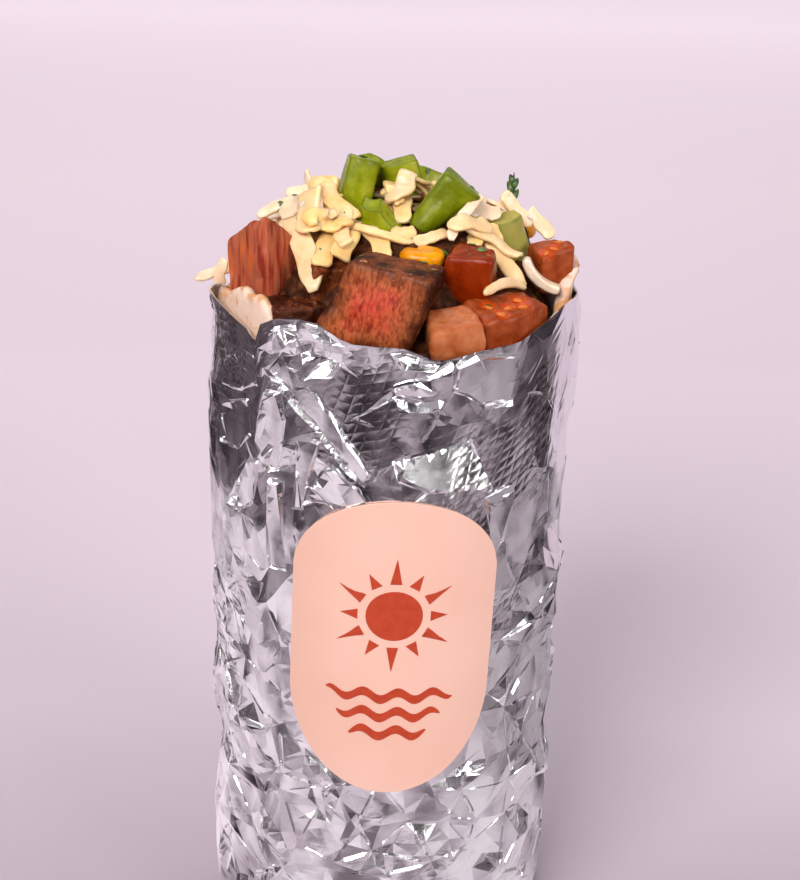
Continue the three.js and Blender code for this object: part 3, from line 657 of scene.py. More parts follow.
def foil_look():
    look = Look("foil")
    wall = look.add("UVMap", uv_map="wall").outputs["UV"]

    def pillows(degrees, spacing):
        """Rows of soft swellings across one direction of the wall."""
        across = (math.cos(math.radians(degrees)), math.sin(math.radians(degrees)), 0)
        along = look.add("VectorMath", {0: wall, 1: across}, operation="DOT_PRODUCT")
        wave = look.math("SINE", look.math("MULTIPLY", along.outputs["Value"], math.pi / (spacing * MM)))
        return look.math("POWER", look.math("ABSOLUTE", wave), 0.6)

    embossed = look.math("MULTIPLY", *(pillows(*rows) for rows in EMBOSS))
    high = look.axis(wall, "Y")
    smooth_part = look.eased(high, (0.08, 0.1), (0.25, 1))
    where = look.patches(45, 2, (0.48, 0.0), (0.6, 1.0))
    where = look.math("MULTIPLY", where, look.number("crumpled"))
    emboss = look.math("MULTIPLY", embossed, look.math("MULTIPLY", where, smooth_part))
    fine = look.noise(420, 3, 0.6)
    relief = look.bump(fine, 0.015, look.bump(emboss, 0.035))
    tarnish = look.noise(120, 3)
    return look.surface(
        Base_Color=look.ramp(tarnish, (0.3, (0.86, 0.84, 0.87)), (0.7, (0.95, 0.94, 0.95))),
        Metallic=1.0,
        Roughness=look.patches(260, 3, (0.3, 0.1), (0.7, 0.2)),
        Normal=relief,
    )


def foil_wall():
    """The unrolled wall with every crease: points, depth of the crumples, depth of the folds, triangles."""
    sheets = [crumple(*level) for level in CRUMPLES]
    sheets += [ridges(sheets[1]), folded_patches()]
    points, edges = [], []
    for sheet in sheets:
        edges += [(a + len(points), b + len(points)) for a, b in sheet.edges]
        points += [tuple(p) for p in sheet.points]
    points, _, faces, _ = triangulated(points, edges, 1e-4)
    crumpled = sum(sheet.at(points) for sheet in sheets[:-1])
    return points, crumpled, sheets[-1].at(points), faces


def make_foil():
    flat, crumpled, folded, faces = foil_wall()
    phi = flat[:, 0] / WRAP_RADIUS - math.pi
    height = flat[:, 1] / WALL_HEIGHT * edge_height(FOIL_EDGE, phi)
    foot_share = smoothstep(flat[:, 1], 1, 8)
    plain = foot_radius(phi) + (WRAP_RADIUS - foot_radius(phi)) * foot_share
    offset = wall_radius(phi, height) - plain + crumpled * foot_share
    low, high = WALL_RELIEF
    slim_angle, slim_height, slimmer, slim_across, slim_up = SLIM_SIDE
    aside = ((np.degrees(phi) - slim_angle) / slim_across) ** 2 + ((height - slim_height) / slim_up) ** 2
    within = np.clip(offset, low, high - slimmer * np.exp(-aside))
    eased = within + FLATTENED * (offset - within)
    in_fold, upturned = in_folds(flat)
    radius = plain + np.where(foot_share > 0.99, eased, offset) * (1 - FOLD_FLATNESS * in_fold) + folded
    lip = lip_share(phi, flat[:, 1])
    radius, height = radius + LIP_RISE * lip, height + LIP_LIFT * lip

    # The two ends of the unrolled wall meet in a seam at the back.
    near = 1e-3
    left = {round(y, 3): i for i, (x, y) in enumerate(flat) if x < near}
    joined = {i: left[round(y, 3)] for i, (x, y) in enumerate(flat) if x > WALL_LENGTH - near}
    faces = [tuple(joined.get(i, i) for i in face) for face in faces]

    def edge_loop(edge):
        """The vertices along the wall's upper or lower edge, in order round it."""
        return [i for i in np.argsort(flat[:, 0]) if abs(flat[i, 1] - edge) < near and i not in joined]

    # Inside, the sheet goes on down from the torn edge to the floor of the cup: (radius, height).
    loop, foot_loop = edge_loop(WALL_HEIGHT), edge_loop(0)
    edge_phi, edge_radius, edge_top = phi[loop], radius[loop], height[loop]
    inner_rings = [
        (np.maximum(edge_radius - FOIL_LIP, FOIL_INNER_RADIUS), edge_top - 0.15),
        (FOIL_INNER_RADIUS, edge_top - 9),
        (FOIL_INNER_RADIUS, FOOT_CORNER_HEIGHT + 1),
        (foot_radius(edge_phi) - 1, FOIL_FLOOR),
    ]
    points = [points_at(phi, radius, height)]
    count = len(flat)
    for ring_radius, ring_height in inner_rings:
        points.append(points_at(edge_phi, ring_radius, ring_height))
        ring = list(range(count, count + len(loop)))
        faces += zip(loop, loop[1:] + loop[:1], ring[1:] + ring[:1], ring)
        loop, count = ring, count + len(ring)
    points.append(np.array([(0, 0, FOIL_FLOOR), (0, 0, 0)]))
    faces += [(a, b, count) for a, b in zip(loop, loop[1:] + loop[:1])]
    faces += [(b, a, count + 1) for a, b in zip(foot_loop, foot_loop[1:] + foot_loop[:1])]

    points = np.concatenate(points)
    foil = mesh_object("foil", points, faces, foil_look(), sharp_degrees=3)
    rest = len(points) - len(flat)
    store(foil, crumpled=np.append(~upturned, np.ones(rest)))
    corners = np.zeros(len(foil.data.loops), np.int32)
    foil.data.loops.foreach_get("vertex_index", corners)
    wall_places = np.concatenate([flat * MM, np.zeros((rest, 2))])
    foil.data.uv_layers.new(name="wall").data.foreach_set("uv", wall_places[corners].ravel())
    ride_as(foil, "foil", "foil_wrap")


# ---- Diced food ----

# What the pieces of a kind share. grain says how short the meat's fibres look along its height.
STEAK = dict(kind="steak", roundness=11, unevenness=0.1, grain=0.3)
TOMATO = dict(kind="tomato", roundness=8, unevenness=0.16)
PEPPER = dict(kind="pepper", roundness=16, unevenness=0.14, bow=1.2)
CORN = dict(kind="corn", roundness=2.6, unevenness=0.08)
ONION = dict(kind="onion", width=4.2, thickness=1.3)
KERNEL = (8.4, 6.2, 4)


def topping(shared, seed, at, size, turn, **more):
    return dict(shared, seed=seed, at=at, size=size, turn=turn, **more)


# The pieces as the CAD part places them: (kind, seed, middle, size, turns in degrees, what is its own).
# crust says how strongly each local axis of a cube of meat ends in a browned face.
TOPPINGS = dict(
    steak_left=topping(
        STEAK, 3, (-23.9, -11.4, 149.8), (10.5, 10.5, 14), (0, 0, 48), slope=(-0.8, -0.7),
        crust=(0.1, 0.4, 0.55), grain=0.14, browned=0.75,
    ),
    steak_front=topping(
        STEAK, 8, (-2.2, -25, 150.1), (18, 10.5, 16.2), (-8, 7, -20), shear=0.14, wedge=(0.13, 0.5),
        crust=(1, 0.2, 0.9), grain=0.45,
    ),
    steak_low=topping(STEAK, 5, (-18, -21.4, 145.6), (11, 9, 6.5), (0, 0, 24), crust=(1, 1, 1)),
    steak_middle=topping(STEAK, 6, (-12.8, -16, 150.2), (7, 7, 9), (6, 8, 20), crust=(0.9, 0.8, 0.8)),
    steak_back_left=topping(STEAK, 14, (-17, 20, 149), (14, 12, 12), (-14, 8, 35), crust=(1, 0.3, 0.6)),
    steak_back_right=topping(
        STEAK, 15, (15.5, 21.5, 150), (15, 11, 12), (-16, -6, -28), crust=(1, 0.2, 0.7),
    ),
    tomato_upper=topping(TOMATO, 21, (13.8, -16.6, 152.6), (9, 7.5, 11), (4, 4, -14), skin=-1),
    tomato_front=topping(TOMATO, 22, (11.2, -27.8, 144.9), (9.6, 7.5, 9), (12, -8, 14), skin=0, pale=0.85),
    tomato_right_front=topping(
        TOMATO, 23, (21, -21, 144.6), (14.5, 9.5, 9.5), (8, -4, 32), skin=1, pale=0.15, seeds=5,
    ),
    tomato_right=topping(
        TOMATO, 24, (30.2, -2.8, 150.9), (7.4, 7.4, 7.6), (0, -6, 25), skin=1, pale=0.2, seeds=3,
    ),
    tomato_back=topping(TOMATO, 25, (-1.5, 26.4, 150), (11, 8, 10), (-10, 5, 8), skin=1),
    tomato_back_left=topping(TOMATO, 26, (-26.4, 12.6, 147), (8.5, 9, 9), (4, -8, 12), skin=-1),
    pepper_left=topping(PEPPER, 31, (-7.6, 2, 163), (6.5, 4.6, 12), (-10, 14, 8)),
    pepper_rear=topping(PEPPER, 32, (0.6, 8.6, 165), (7.2, 5, 5.4), (-4, -12, 10)),
    pepper_front=topping(PEPPER, 33, (-3, -7.4, 160.6), (9.6, 4.6, 5.4), (12, 8, -4), wedge=(0.7, -0.28)),
    pepper_right=topping(
        PEPPER, 34, (8.2, -3.2, 161.8), (8.6, 5.6, 12.6), (8, -138, -6), wedge=(0.55, 0.12), rind=0.6,
    ),
    pepper_side=topping(PEPPER, 35, (21.8, 1.2, 153.4), (7.4, 5, 13), (0, -14, 30), pale=0.7),
    pepper_top=topping(PEPPER, 37, (-5.2, 10.4, 164.8), (5.6, 4, 5.4), (-10, 30, 40)),
    pepper_back=topping(PEPPER, 36, (6.4, 19.4, 158.8), (9, 4.8, 8), (-34, 14, -30)),
    corn_front=topping(CORN, 41, (5, -16.2, 156), KERNEL, (4, 2, -4)),
    corn_back=topping(CORN, 42, (-8.4, 20, 158.6), KERNEL, (-30, 10, 30)),
    corn_side=topping(CORN, 43, (24.4, 13, 153.4), KERNEL, (-14, 30, 60)),
    onion_right=dict(
        ONION, radius=8, arc=1.2, at=(27, -8.8, 150.1), turn=(84, -138, 0), width=2.4, thickness=1.9,
    ),
    onion_back=dict(ONION, radius=9, arc=1.2, at=(-22.5, 13.5, 154.6), turn=(70, 14, 60)),
)


def turned(points, turn, at):
    """Points turned about X, then Y, then Z by degrees, and moved to their place."""
    (cx, cy, cz), (sx, sy, sz) = np.cos(np.radians(turn)), np.sin(np.radians(turn))
    about_x = np.array([[1, 0, 0], [0, cx, -sx], [0, sx, cx]])
    about_y = np.array([[cy, 0, sy], [0, 1, 0], [-sy, 0, cy]])
    about_z = np.array([[cz, -sz, 0], [sz, cz, 0], [0, 0, 1]])
    return points @ (about_z @ about_y @ about_x).T + np.array(at)


def cube_grid(steps):
    """Points from -1 to 1 on the faces of a cube, and its quads."""
    index, points, faces = {}, [], []

    def corner(cell):
        if cell not in index:
            index[cell] = len(points)
            points.append([2 * c / steps - 1 for c in cell])
        return index[cell]

    for axis in range(3):
        u, v = (axis + 1) % 3, (axis + 2) % 3
        for side in (0, steps):
            for i in range(steps):
                for j in range(steps):
                    quad = []
                    for di, dj in ((0, 0), (1, 0), (1, 1), (0, 1)):
                        cell = [0, 0, 0]
                        cell[axis], cell[u], cell[v] = side, i + di, j + dj
                        quad.append(corner(tuple(cell)))
                    faces.append(tuple(quad if side else quad[::-1]))
    return np.array(points), faces


def vertex_normals(points, quads):
    a, b, c, d = (points[corners] for corners in np.array(quads).T)
    normals = np.zeros_like(points)
    for corners in np.array(quads).T:
        np.add.at(normals, corners, np.cross(c - a, d - b))
    return unit_rows(normals)


def diced(piece, steps):
    """The CAD's cut piece with finer faces: (points from -1 to 1, the same in mm, their normals, quads)."""
    draw = random_source(piece["seed"])
    corners = [[(draw() - 0.5) * 2 * piece["unevenness"] for _ in range(3)] for _ in range(8)]
    grid, faces = cube_grid(steps)
    power = piece["roundness"]
    norm = (np.abs(grid) ** power).sum(1, keepdims=True) ** (1 / power)
    unit = grid / norm
    offset = np.zeros_like(unit)
    for c, corner in enumerate(corners):
        sign = np.array([1 if c & 1 else -1, 1 if c & 2 else -1, 1 if c & 4 else -1])
        offset += np.prod((1 + sign * unit) / 2, 1)[:, None] * corner
    size = np.array(piece["size"])
    local = unit * size / 2 + offset * size / 2
    local[:, 1] += piece.get("bow", 0) * (unit[:, 0] ** 2 - 0.5)
    local[:, 0] += piece.get("shear", 0) * local[:, 2]
    upward = (unit[:, 2] + 1) / 2
    slope_x, slope_y = piece.get("slope", (0, 0))
    local[:, 2] += (slope_x * local[:, 0] + slope_y * local[:, 1]) * upward
    narrowing, towards = piece.get("wedge", (0, 0))
    local[:, 0] += (towards * size[0] - local[:, 0]) * narrowing * upward
    return unit, local, vertex_normals(local, faces), faces


def inside_wrap(points):
    """Keeps food inside the tortilla's outer wall."""
    limit = TORTILLA_OUTER_RADIUS - 0.1
    radius = np.hypot(points[:, 0], points[:, 1])
    points[:, :2] *= np.minimum(1, limit / np.maximum(radius, 1e-6))[:, None]
    return points


def place_piece(name, piece, local, faces, look, **numbers):
    """Puts a piece of food in its place, with the numbers for each vertex that its material reads."""
    made = mesh_object(name, inside_wrap(turned(local, piece["turn"], piece["at"])), faces, look)
    numbers = {key: np.broadcast_to(values, len(local)) for key, values in numbers.items()}
    store(made, local=local * MM, **numbers)
    return ride_as(made, piece["kind"], name)


def make_steak(name, piece, look):
    """A cube of grilled steak: red in the middle, browned at its crust, with fibres along its height."""
    seed = piece["seed"]
    unit, local, normals, faces = diced(piece, 30)
    grain = local * (1, 1, piece["grain"])
    fibres = noise(grain + seed * 10, 1.3, seed, 2)
    lumps = noise(local, 4.0, seed + 1, 2)
    pits = np.minimum(0, noise(local, 1.6, seed + 2) + 0.35)
    swells = noise(local, 7.0, seed + 4)
    local = local + normals * (0.18 * fibres + 0.25 * lumps + 0.4 * swells + 0.5 * pits)[:, None]
    depth = (1 - np.abs(unit) * piece["crust"]).min(1) + 0.16 * noise(local, 3.0, seed + 3, 2)
    steak = place_piece(name, piece, local, faces, look, depth=depth, browned=piece.get("browned", 0))
    store(steak, grain=grain * MM)
    return steak


def steak_look():
    look = Look("steak", "local")
    depth = look.number("depth")
    grain = look.vector("grain")
    fibres = look.noise(760, 3, 0.6, at=grain)
    threads = look.noise(1700, 2, at=grain)
    blotch = look.noise(300, 4, 0.6)
    ragged = look.math("ADD", depth, look.math("MULTIPLY", look.math("SUBTRACT", blotch, 0.5), 0.5))
    meat = look.colours(
        ragged,
        (0.0, 54, 20, 6), (0.12, 92, 43, 16), (0.28, 138, 72, 34),
        (0.46, 164, 84, 48), (0.62, 178, 78, 48), (0.86, 182, 62, 42),
    )
    darker = look.mix(1.0, meat, srgb(162, 108, 88), "MULTIPLY")
    threaded = look.mix(look.ramp(threads, (0.4, 0.5), (0.55, 0.0)), meat, darker)
    streaked = look.mix(look.ramp(fibres, (0.38, 0.75), (0.5, 0.0)), threaded, darker)
    speckled = look.patches(1300, 2, (0.66, 0.0), (0.72, 0.4))
    streaked = look.mix(speckled, streaked, srgb(190, 118, 80))
    browned = look.number("browned")
    bands = look.colours(
        look.noise(420, 3, at=grain),
        (0.36, 150, 56, 36), (0.45, 170, 92, 64), (0.55, 154, 86, 60), (0.62, 182, 92, 38),
    )
    banded = look.mix(look.ramp(fibres, (0.36, 0.85), (0.52, 0.0)), bands, darker)
    inside = look.math("MULTIPLY", browned, look.ramp(ragged, (0.2, 0.0), (0.45, 1.0)))
    streaked = look.mix(inside, streaked, banded)
    fat = look.ramp(look.noise(420, 4, at=look.stretched(1, 1, 0.3)), (0.66, 0.0), (0.72, 0.55))
    relief = look.bump(fibres, 0.22, look.bump(look.noise(1500, 2), 0.06))
    return look.surface(
        Base_Color=look.mix(fat, streaked, srgb(214, 140, 100)),
        Roughness=look.patches(500, 2, (0.35, 0.36), (0.65, 0.6)),
        subsurface=(0.12, (0.004, 0.0015, 0.001), 0.3),
        Specular_IOR_Level=0.12,
        coat=(0.04, 0.2),
        Normal=relief,
    )


def teardrop(middle, frame, radii):
    """A small seed: an ellipsoid that narrows to one end. frame holds its three directions as rows."""
    rows, around = 9, 12
    turns = ring_angles(around)
    rings = []
    for share in (np.arange(rows) + 0.5) / rows:
        along = -math.cos(math.pi * share)
        wide = math.sin(math.pi * share) * (1 - 0.35 * along)
        rings.append(np.stack([along + turns * 0, wide * np.cos(turns), wide * np.sin(turns)], -1))
    local, faces = capped_rings(rings, [(-1.02, 0, 0), (1.02, 0, 0)])
    return middle + local * radii @ frame, faces


def lying_frame(normal, rng):
    """Three directions as rows for something that lies on a surface, turned at random about its normal."""
    along = unit_rows(np.cross(normal, rng.normal(size=3)))
    return np.array([along, np.cross(normal, along), normal])


def tomato_seeds(piece, unit, local, normals):
    """Seeds in the wet top and front of a piece of tomato."""
    rng = np.random.default_rng(piece["seed"])
    up = (unit[:, 2] > 0.92) & (np.abs(unit[:, :2]) < 0.66).all(1)
    front = (unit[:, 1] * -1 > 0.92) & (np.abs(unit[:, ::2]) < 0.6).all(1) & (unit[:, 2] > 0)
    spots = np.nonzero(up | front)[0]
    seeds, taken = [], []
    for spot in rng.permutation(spots):
        if all(np.linalg.norm(local[spot] - local[other]) > 2.0 for other in taken):
            taken.append(spot)
            normal = normals[spot]
            seeds.append(teardrop(local[spot] - normal * 0.34, lying_frame(normal, rng), (1.0, 0.6, 0.3)))
        if len(seeds) == piece["seeds"]:
            break
    return seeds


def make_tomato(name, piece, look):
    """Diced tomato. skin says which face across local Y is the outer skin, or 0 for none."""
    seed = piece["seed"]
    unit, local, normals, faces = diced(piece, 26)
    folds = noise(local * (1, 1, 0.4), 2.4, seed, 2)
    lumps = noise(local, 4.5, seed + 1, 2)
    cut = 1 - smoothstep(unit[:, 1] * piece["skin"], 0.75, 0.95) if piece["skin"] else np.ones(len(unit))
    local = local + normals * ((0.3 * folds + 0.35 * lumps) * (0.35 + 0.65 * cut))[:, None]
    seeds = tomato_seeds(piece, unit, local, normals) if "seeds" in piece else []
    near_seed = np.zeros(len(local))
    for points, _ in seeds:
        distance = np.linalg.norm(local - points.mean(0), axis=1)
        near_seed = np.maximum(near_seed, smoothstep(distance, 2.0, 0.8))
    local = local - normals * 0.45 * near_seed[:, None]
    body = len(local)
    local, faces = merged([(local, faces), *seeds])
    rest = len(local) - body
    return place_piece(
        name, piece, local, faces, look, pale=piece.get("pale", 0), seed=np.arange(len(local)) >= body,
        cut=np.append(cut, np.ones(rest)), wet=np.append(near_seed, np.zeros(rest)),
    )


def tomato_look():
    look = Look("tomato", "local")
    cut, pale, wet, seed = map(look.number, ("cut", "pale", "wet", "seed"))
    cloud = look.noise(260, 3, 0.6)
    deep = look.colours(cloud, (0.3, 108, 29, 1), (0.5, 126, 42, 4), (0.74, 152, 64, 20))
    light = look.colours(cloud, (0.3, 154, 74, 32), (0.7, 188, 120, 80))
    skin = look.colours(cloud, (0.3, 112, 27, 1), (0.7, 136, 42, 3))
    flesh = look.mix(wet, look.mix(pale, deep, light), srgb(184, 66, 14))
    cells = look.cells(900)
    relief = look.bump(cells, 0.08, look.bump(look.noise(420, 2), 0.12))
    drier = look.patches(380, 2, (0.4, 0.2), (0.65, 0.42))
    return look.surface(
        Base_Color=look.mix(seed, look.mix(cut, skin, flesh), srgb(190, 102, 46)),
        Roughness=look.mix(wet, drier, (0.1, 0.1, 0.1)),
        subsurface=(0.3, (0.006, 0.002, 0.001), 0.35),
        Specular_IOR_Level=0.1,
        coat=(0.06, 0.1),
        Normal=relief,
    )


def make_pepper(name, piece, look):
    """Green pepper cut from the wall of the fruit: glossy dark skin on one side, pale and ribbed inside."""
    seed = piece["seed"]
    unit, local, normals, faces = diced(piece, 24)
    lumps = noise(local, 3.6, seed, 2)
    ribs = noise(local * (1, 1, 0.35), 1.5, seed + 1)
    inner = smoothstep(unit[:, 1], -0.6, -0.9)
    local = local + normals * (0.14 * lumps + 0.12 * ribs * inner)[:, None]
    edge = np.sort(np.abs(unit), axis=1)[:, 1]
    skin = np.maximum(smoothstep(unit[:, 1], 0.55, 0.92), piece.get("rind", 0))
    edge = smoothstep(edge, 0.84, 0.97)
    return place_piece(name, piece, local, faces, look, skin=skin, edge=edge, pale=piece.get("pale", 0))


def pepper_look():
    look = Look("pepper", "local")
    skin, edge, pale = map(look.number, ("skin", "edge", "pale"))
    cloud = look.noise(240, 3, 0.6)
    flesh = look.colours(cloud, (0.3, 104, 114, 2), (0.55, 134, 140, 12), (0.78, 164, 162, 46))
    rind = look.colours(cloud, (0.3, 74, 88, 2), (0.7, 104, 116, 6))
    green = look.mix(skin, look.mix(pale, flesh, srgb(164, 150, 84)), rind)
    dark_edge = look.math("MULTIPLY", edge, look.patches(500, 2, (0.3, 0.35), (0.7, 0.85)))
    relief = look.bump(look.cells(1100), 0.05, look.bump(look.noise(500, 3), 0.1))
    return look.surface(
        Base_Color=look.mix(dark_edge, green, srgb(64, 82, 4)),
        Roughness=look.patches(420, 2, (0.4, 0.22), (0.65, 0.45)),
        subsurface=(0.35, (0.002, 0.0025, 0.0004), 0.4),
        Specular_IOR_Level=0.12,
        coat=(0.1, 0.12),
        Normal=relief,
    )


def make_corn(name, piece, look):
    """A kernel of sweetcorn: plump, with a dimple in its crown and a paler tip."""
    seed = piece["seed"]
    unit, local, normals, faces = diced(piece, 22)
    from_middle = (unit[:, 0] / 0.5) ** 2 + (unit[:, 1] / 0.45) ** 2
    dimple = np.exp(-from_middle) * smoothstep(unit[:, 2], 0.2, 0.8)
    wrinkles = noise(local * (1, 0.5, 1), 1.4, seed)
    local = local - normals * (0.5 * dimple + 0.07 * wrinkles)[:, None]
    return place_piece(name, piece, local, faces, look, tip=smoothstep(unit[:, 1], 0.4, 1.0))


def corn_look():
    look = Look("corn", "local")
    tip = look.number("tip")
    cloud = look.noise(320, 3)
    yellow = look.colours(cloud, (0.3, 190, 112, 0), (0.55, 208, 134, 2), (0.8, 218, 156, 12))
    return look.surface(
        Base_Color=look.mix(tip, yellow, srgb(240, 214, 140)),
        Roughness=look.patches(600, 2, (0.4, 0.12), (0.65, 0.28)),
        subsurface=(0.4, (0.004, 0.0025, 0.0006), 0.4),
        Specular_IOR_Level=0.15,
        coat=(0.12, 0.1),
        Normal=look.bump(look.noise(700, 2), 0.05),
    )


def make_onion(name, piece, look):
    """A curved strip of onion, part of a ring, ribbed along its length and rounded at its edges."""
    along_steps, round_steps = 30, 20
    radius, thickness, width = piece["radius"], piece["thickness"], piece["width"]
    turns = ring_angles(round_steps)
    rings = []
    for share in np.linspace(-1, 1, along_steps + 1):
        angle = share * piece["arc"] / 2
        end = (1 - abs(share) ** 12) ** 0.5
        depth = signed_power(np.cos(turns), 0.5) * thickness / 2 * (0.35 + 0.65 * end)
        side = signed_power(np.sin(turns), 0.4) * width / 2 * (0.75 + 0.25 * end)
        bent = radius + depth + 0.12 * np.sin(side * 4.2)
        rings.append(np.stack([bent * math.sin(angle), bent * math.cos(angle) - radius, side], -1))
    local, faces = capped_rings(rings, [rings[0].mean(0), rings[-1].mean(0)])
    faces = [face[::-1] for face in faces]
    local = local + 0.12 * noise_vectors(local, 2.2, 90)
    return place_piece(name, piece, local, faces, look)


def onion_look():
    look = Look("onion", "local")
    veins = look.noise(900, 3, at=look.stretched(0.25, 1, 1))
    return look.surface(
        Base_Color=look.colours(veins, (0.35, 212, 186, 162), (0.65, 232, 216, 196)),
        Roughness=look.ramp(veins, (0.4, 0.2), (0.6, 0.34)),
        subsurface=(0.6, (0.004, 0.003, 0.002), 0.5),
        coat=(0.4, 0.1),
        Normal=look.bump(veins, 0.08),
    )


def make_toppings():
    """Every diced piece. Returns the pieces by name."""
    makers = {
        "steak": (make_steak, steak_look()),
        "tomato": (make_tomato, tomato_look()),
        "pepper": (make_pepper, pepper_look()),
        "corn": (make_corn, corn_look()),
        "onion": (make_onion, onion_look()),
    }
    made = {}
    for name, piece in TOPPINGS.items():
        make, look = makers[piece["kind"]]
        made[name] = make(name, piece, look)
    return made


# ---- The filling and the cheese ----

STRIP_THICKNESS = 1.0
STRIP_END = 0.25  # how far a torn end bulges
OUTWARD_FROM = (0, 0, 132.0)  # unless stated, a strip faces away from here
FORWARD = (0.0, -0.75, 0.66)  # the way a strip faces that shows its flat side at the front

# Strips that lie where they fell: (width, whiteness from 0 to 1, middle line, for some the way they face).
PLACED_STRIPS = [
    (4.8, 0.5, [(-20.4, 3, 159.6), (-18, -12.2, 159.2), (-15.7, -17.6, 154.6), (-14.6, -21.6, 150.6)]),
    (2.2, 0.9, [(-17, 1.4, 161.6), (-21.6, 1.4, 160.3), (-26.6, 0.5, 158)], FORWARD),
    (2.6, 0.85, [(-13.5, 3, 163.2), (-17.5, 3.4, 162.6), (-21, 3, 161.4)], FORWARD),
    (2, 0.9, [(-17.5, 6, 165.9), (-17, 5, 162.6), (-15.9, -3, 159.6)]),
    (4.4, 0.1, [(-13, 3.4, 165.4), (-13.4, 2, 163.6), (-13.8, 0.2, 161.6)], FORWARD),
    (2.4, 0.2, [(-10.6, -0.6, 162.6), (-13.4, -2.2, 162.4), (-16.2, -3, 160.6)]),
    (3, 0.95, [(-9.4, -4.2, 161.4), (-12.8, -5.4, 160.2), (-16.2, -6.6, 157.9)], FORWARD),
    (2.6, 0.4, [(-6.8, -7.6, 160.6), (-10, -8.8, 159.9), (-13.4, -9.4, 157.8)], FORWARD),
    (1.6, 0.3, [(-12.4, -8, 158.9), (-8, -11.6, 160.1), (-3.1, -14.6, 159.9), (3.4, -14.6, 158.2)]),
    (3.8, 0.1, [(-10.8, -11, 158.9), (-12.8, -15.4, 157), (-13, -20, 155)], FORWARD),
    (4, 0.15, [(-8, -10.8, 159.6), (-9, -15, 157.8), (-9.9, -18.2, 156)], FORWARD),
    (3.4, 0.2, [(-5, -10.4, 159.6), (-2.9, -15, 158), (-1.4, -18.4, 156.2)], FORWARD),
    (3.6, 0.25, [(0.7, 3, 162.6), (1.2, -2, 162.2), (1.5, -6.4, 159.6)], FORWARD),
    (1.6, 0.5, [(-2.9, 2.4, 162.6), (0.5, 2.8, 164), (4.4, 3.4, 162.6)]),
    (2.2, 0.5, [(3.4, -14.6, 157.8), (6.6, -12.6, 158.8), (9.6, -10.4, 158.8)], FORWARD),
    (2, 0.95, [(15.6, -3, 164.2), (13, -7.6, 162.2), (11, -10.6, 160.2), (10.4, -13, 158.4)], FORWARD),
    (3, 0.3, [(12.6, -4.6, 160.2), (16.8, -7.4, 158), (20, -10.4, 154.6), (24.4, -12, 149.6)], FORWARD),
    (1.9, 0.6, [(16.4, -22.2, 151.4), (19.6, -18.6, 152), (24.2, -12, 149.6)]),
    (2.8, 0.7, [(20.3, 3, 162.9), (23.1, 3.4, 160.1), (25.8, 3, 156.9)], FORWARD),
    (2.8, 0.75, [(25.6, 4, 159.4), (27.8, 3.8, 157.5), (29.9, 2.2, 154.8)], FORWARD),
    (2.1, 0.9, [(-29.5, 2, 147.6), (-34.5, 1.2, 146.5), (-38.8, 0, 145.2)], FORWARD),
    (2.2, 0.85, [(-32.4, -3.4, 150.4), (-33.4, -3.8, 148), (-33.6, -3.8, 145.6)], FORWARD),
    (3.6, 0.25, [(-14.4, -4, 160.4), (-15.6, -8, 158), (-14.8, -12, 155.8), (-14.2, -15.4, 153.4)]),
    (3, 0.5, [(-17.6, 1.2, 161.2), (-16.6, -3.4, 160.6), (-17.8, -7.4, 157.6)]),
    (3.2, 0.15, [(11.4, -4, 160.2), (14.6, -7.6, 158.4), (14.4, -11.4, 157)], FORWARD),
    (2.6, 0.2, [(17.8, -4, 159), (18.9, -4.8, 157.2), (19.4, -5.8, 154.8)], FORWARD),
    (3.2, 0.95, [(13.4, -2, 160.6), (16.6, -1, 160.8), (19.6, -1.4, 159.8)], FORWARD),
]

# Wide strips right on the filling, where no dark gap shows: (width, from x and y, to x and y).
BEDDING = [
    (4.2, (-10.5, -3), (-12, -9.6)), (4.2, (-14.6, -1.5), (-15.6, -8)), (4.2, (-8, -6.5), (-9, -12.5)),
    (4.2, (-7.5, -4), (-13, -6)), (3.8, (-9.4, -12), (-12.2, -14.6)), (4, (12, -5.4), (18, -1.6)),
    (4, (14, 1), (20, 3)), (4, (-3.8, -2), (-2.6, 4.6)), (4, (0.6, -6), (0.2, 0)),
    (4, (3.4, -1), (4.8, 5.4)), (3.6, (-0.8, -9.6), (3.8, -10.4)),
]


def heap_height(x, y):
    """The CAD heap: full at the back and falling away towards the front."""
    radius = np.hypot(x, y)
    share = np.minimum(1, radius / FILLING_RADIUS)
    back = np.where(radius > 0, y / np.maximum(radius, 1e-9), 0) * share
    dome = (1 - share ** (3.4 + 1.6 * back)) ** (0.8 - 0.2 * back)
    lump = HEAP_LUMP * np.sin(x / 3.1 + 1) * np.cos(y / 2.7) * (1 - share**4)
    piled = sum(
        rise * np.exp(-((x - px) ** 2 + (y - py) ** 2) / (2 * reach**2))
        for px, py, rise, reach in CHEESE_PILES
    )
    return HEAP_EDGE_HEIGHT + HEAP_RISE * dome + lump + piled * (1 - share**8)


def make_core():
    """The dark, lumpy filling under the cheese. It fills the tortilla. Its dark brown is partly the meat's
    own colour and partly painted shade for the deep gaps between the toppings.
    """
    steps, rows = 220, 80
    bottom, sink = 4.8, 0.9
    angles = ring_angles(steps)
    rings = [points_at(angles, *ring) for ring in ((21, bottom), (FILLING_RADIUS, 14))]
    for row in range(rows + 1):
        share = 1 - (row / rows) ** 1.1 * 0.995
        flat = points_at(angles, FILLING_RADIUS * share, 0.0)
        grains = noise(flat, 3.4, 61, 3) + 0.5 * noise(flat, 1.3, 64)
        relief = 1.1 * grains * smoothstep(share, 1.0, 0.93)
        flat[:, 2] = heap_height(flat[:, 0], flat[:, 1]) - sink + relief
        rings.append(flat)
    ends = [(0, 0, bottom), (0, 0, heap_height(0.0, 0.0) - sink)]
    core = mesh_object("filling_core", *capped_rings(rings, ends), core_look())
    return ride_as(core, "filling", "filling")


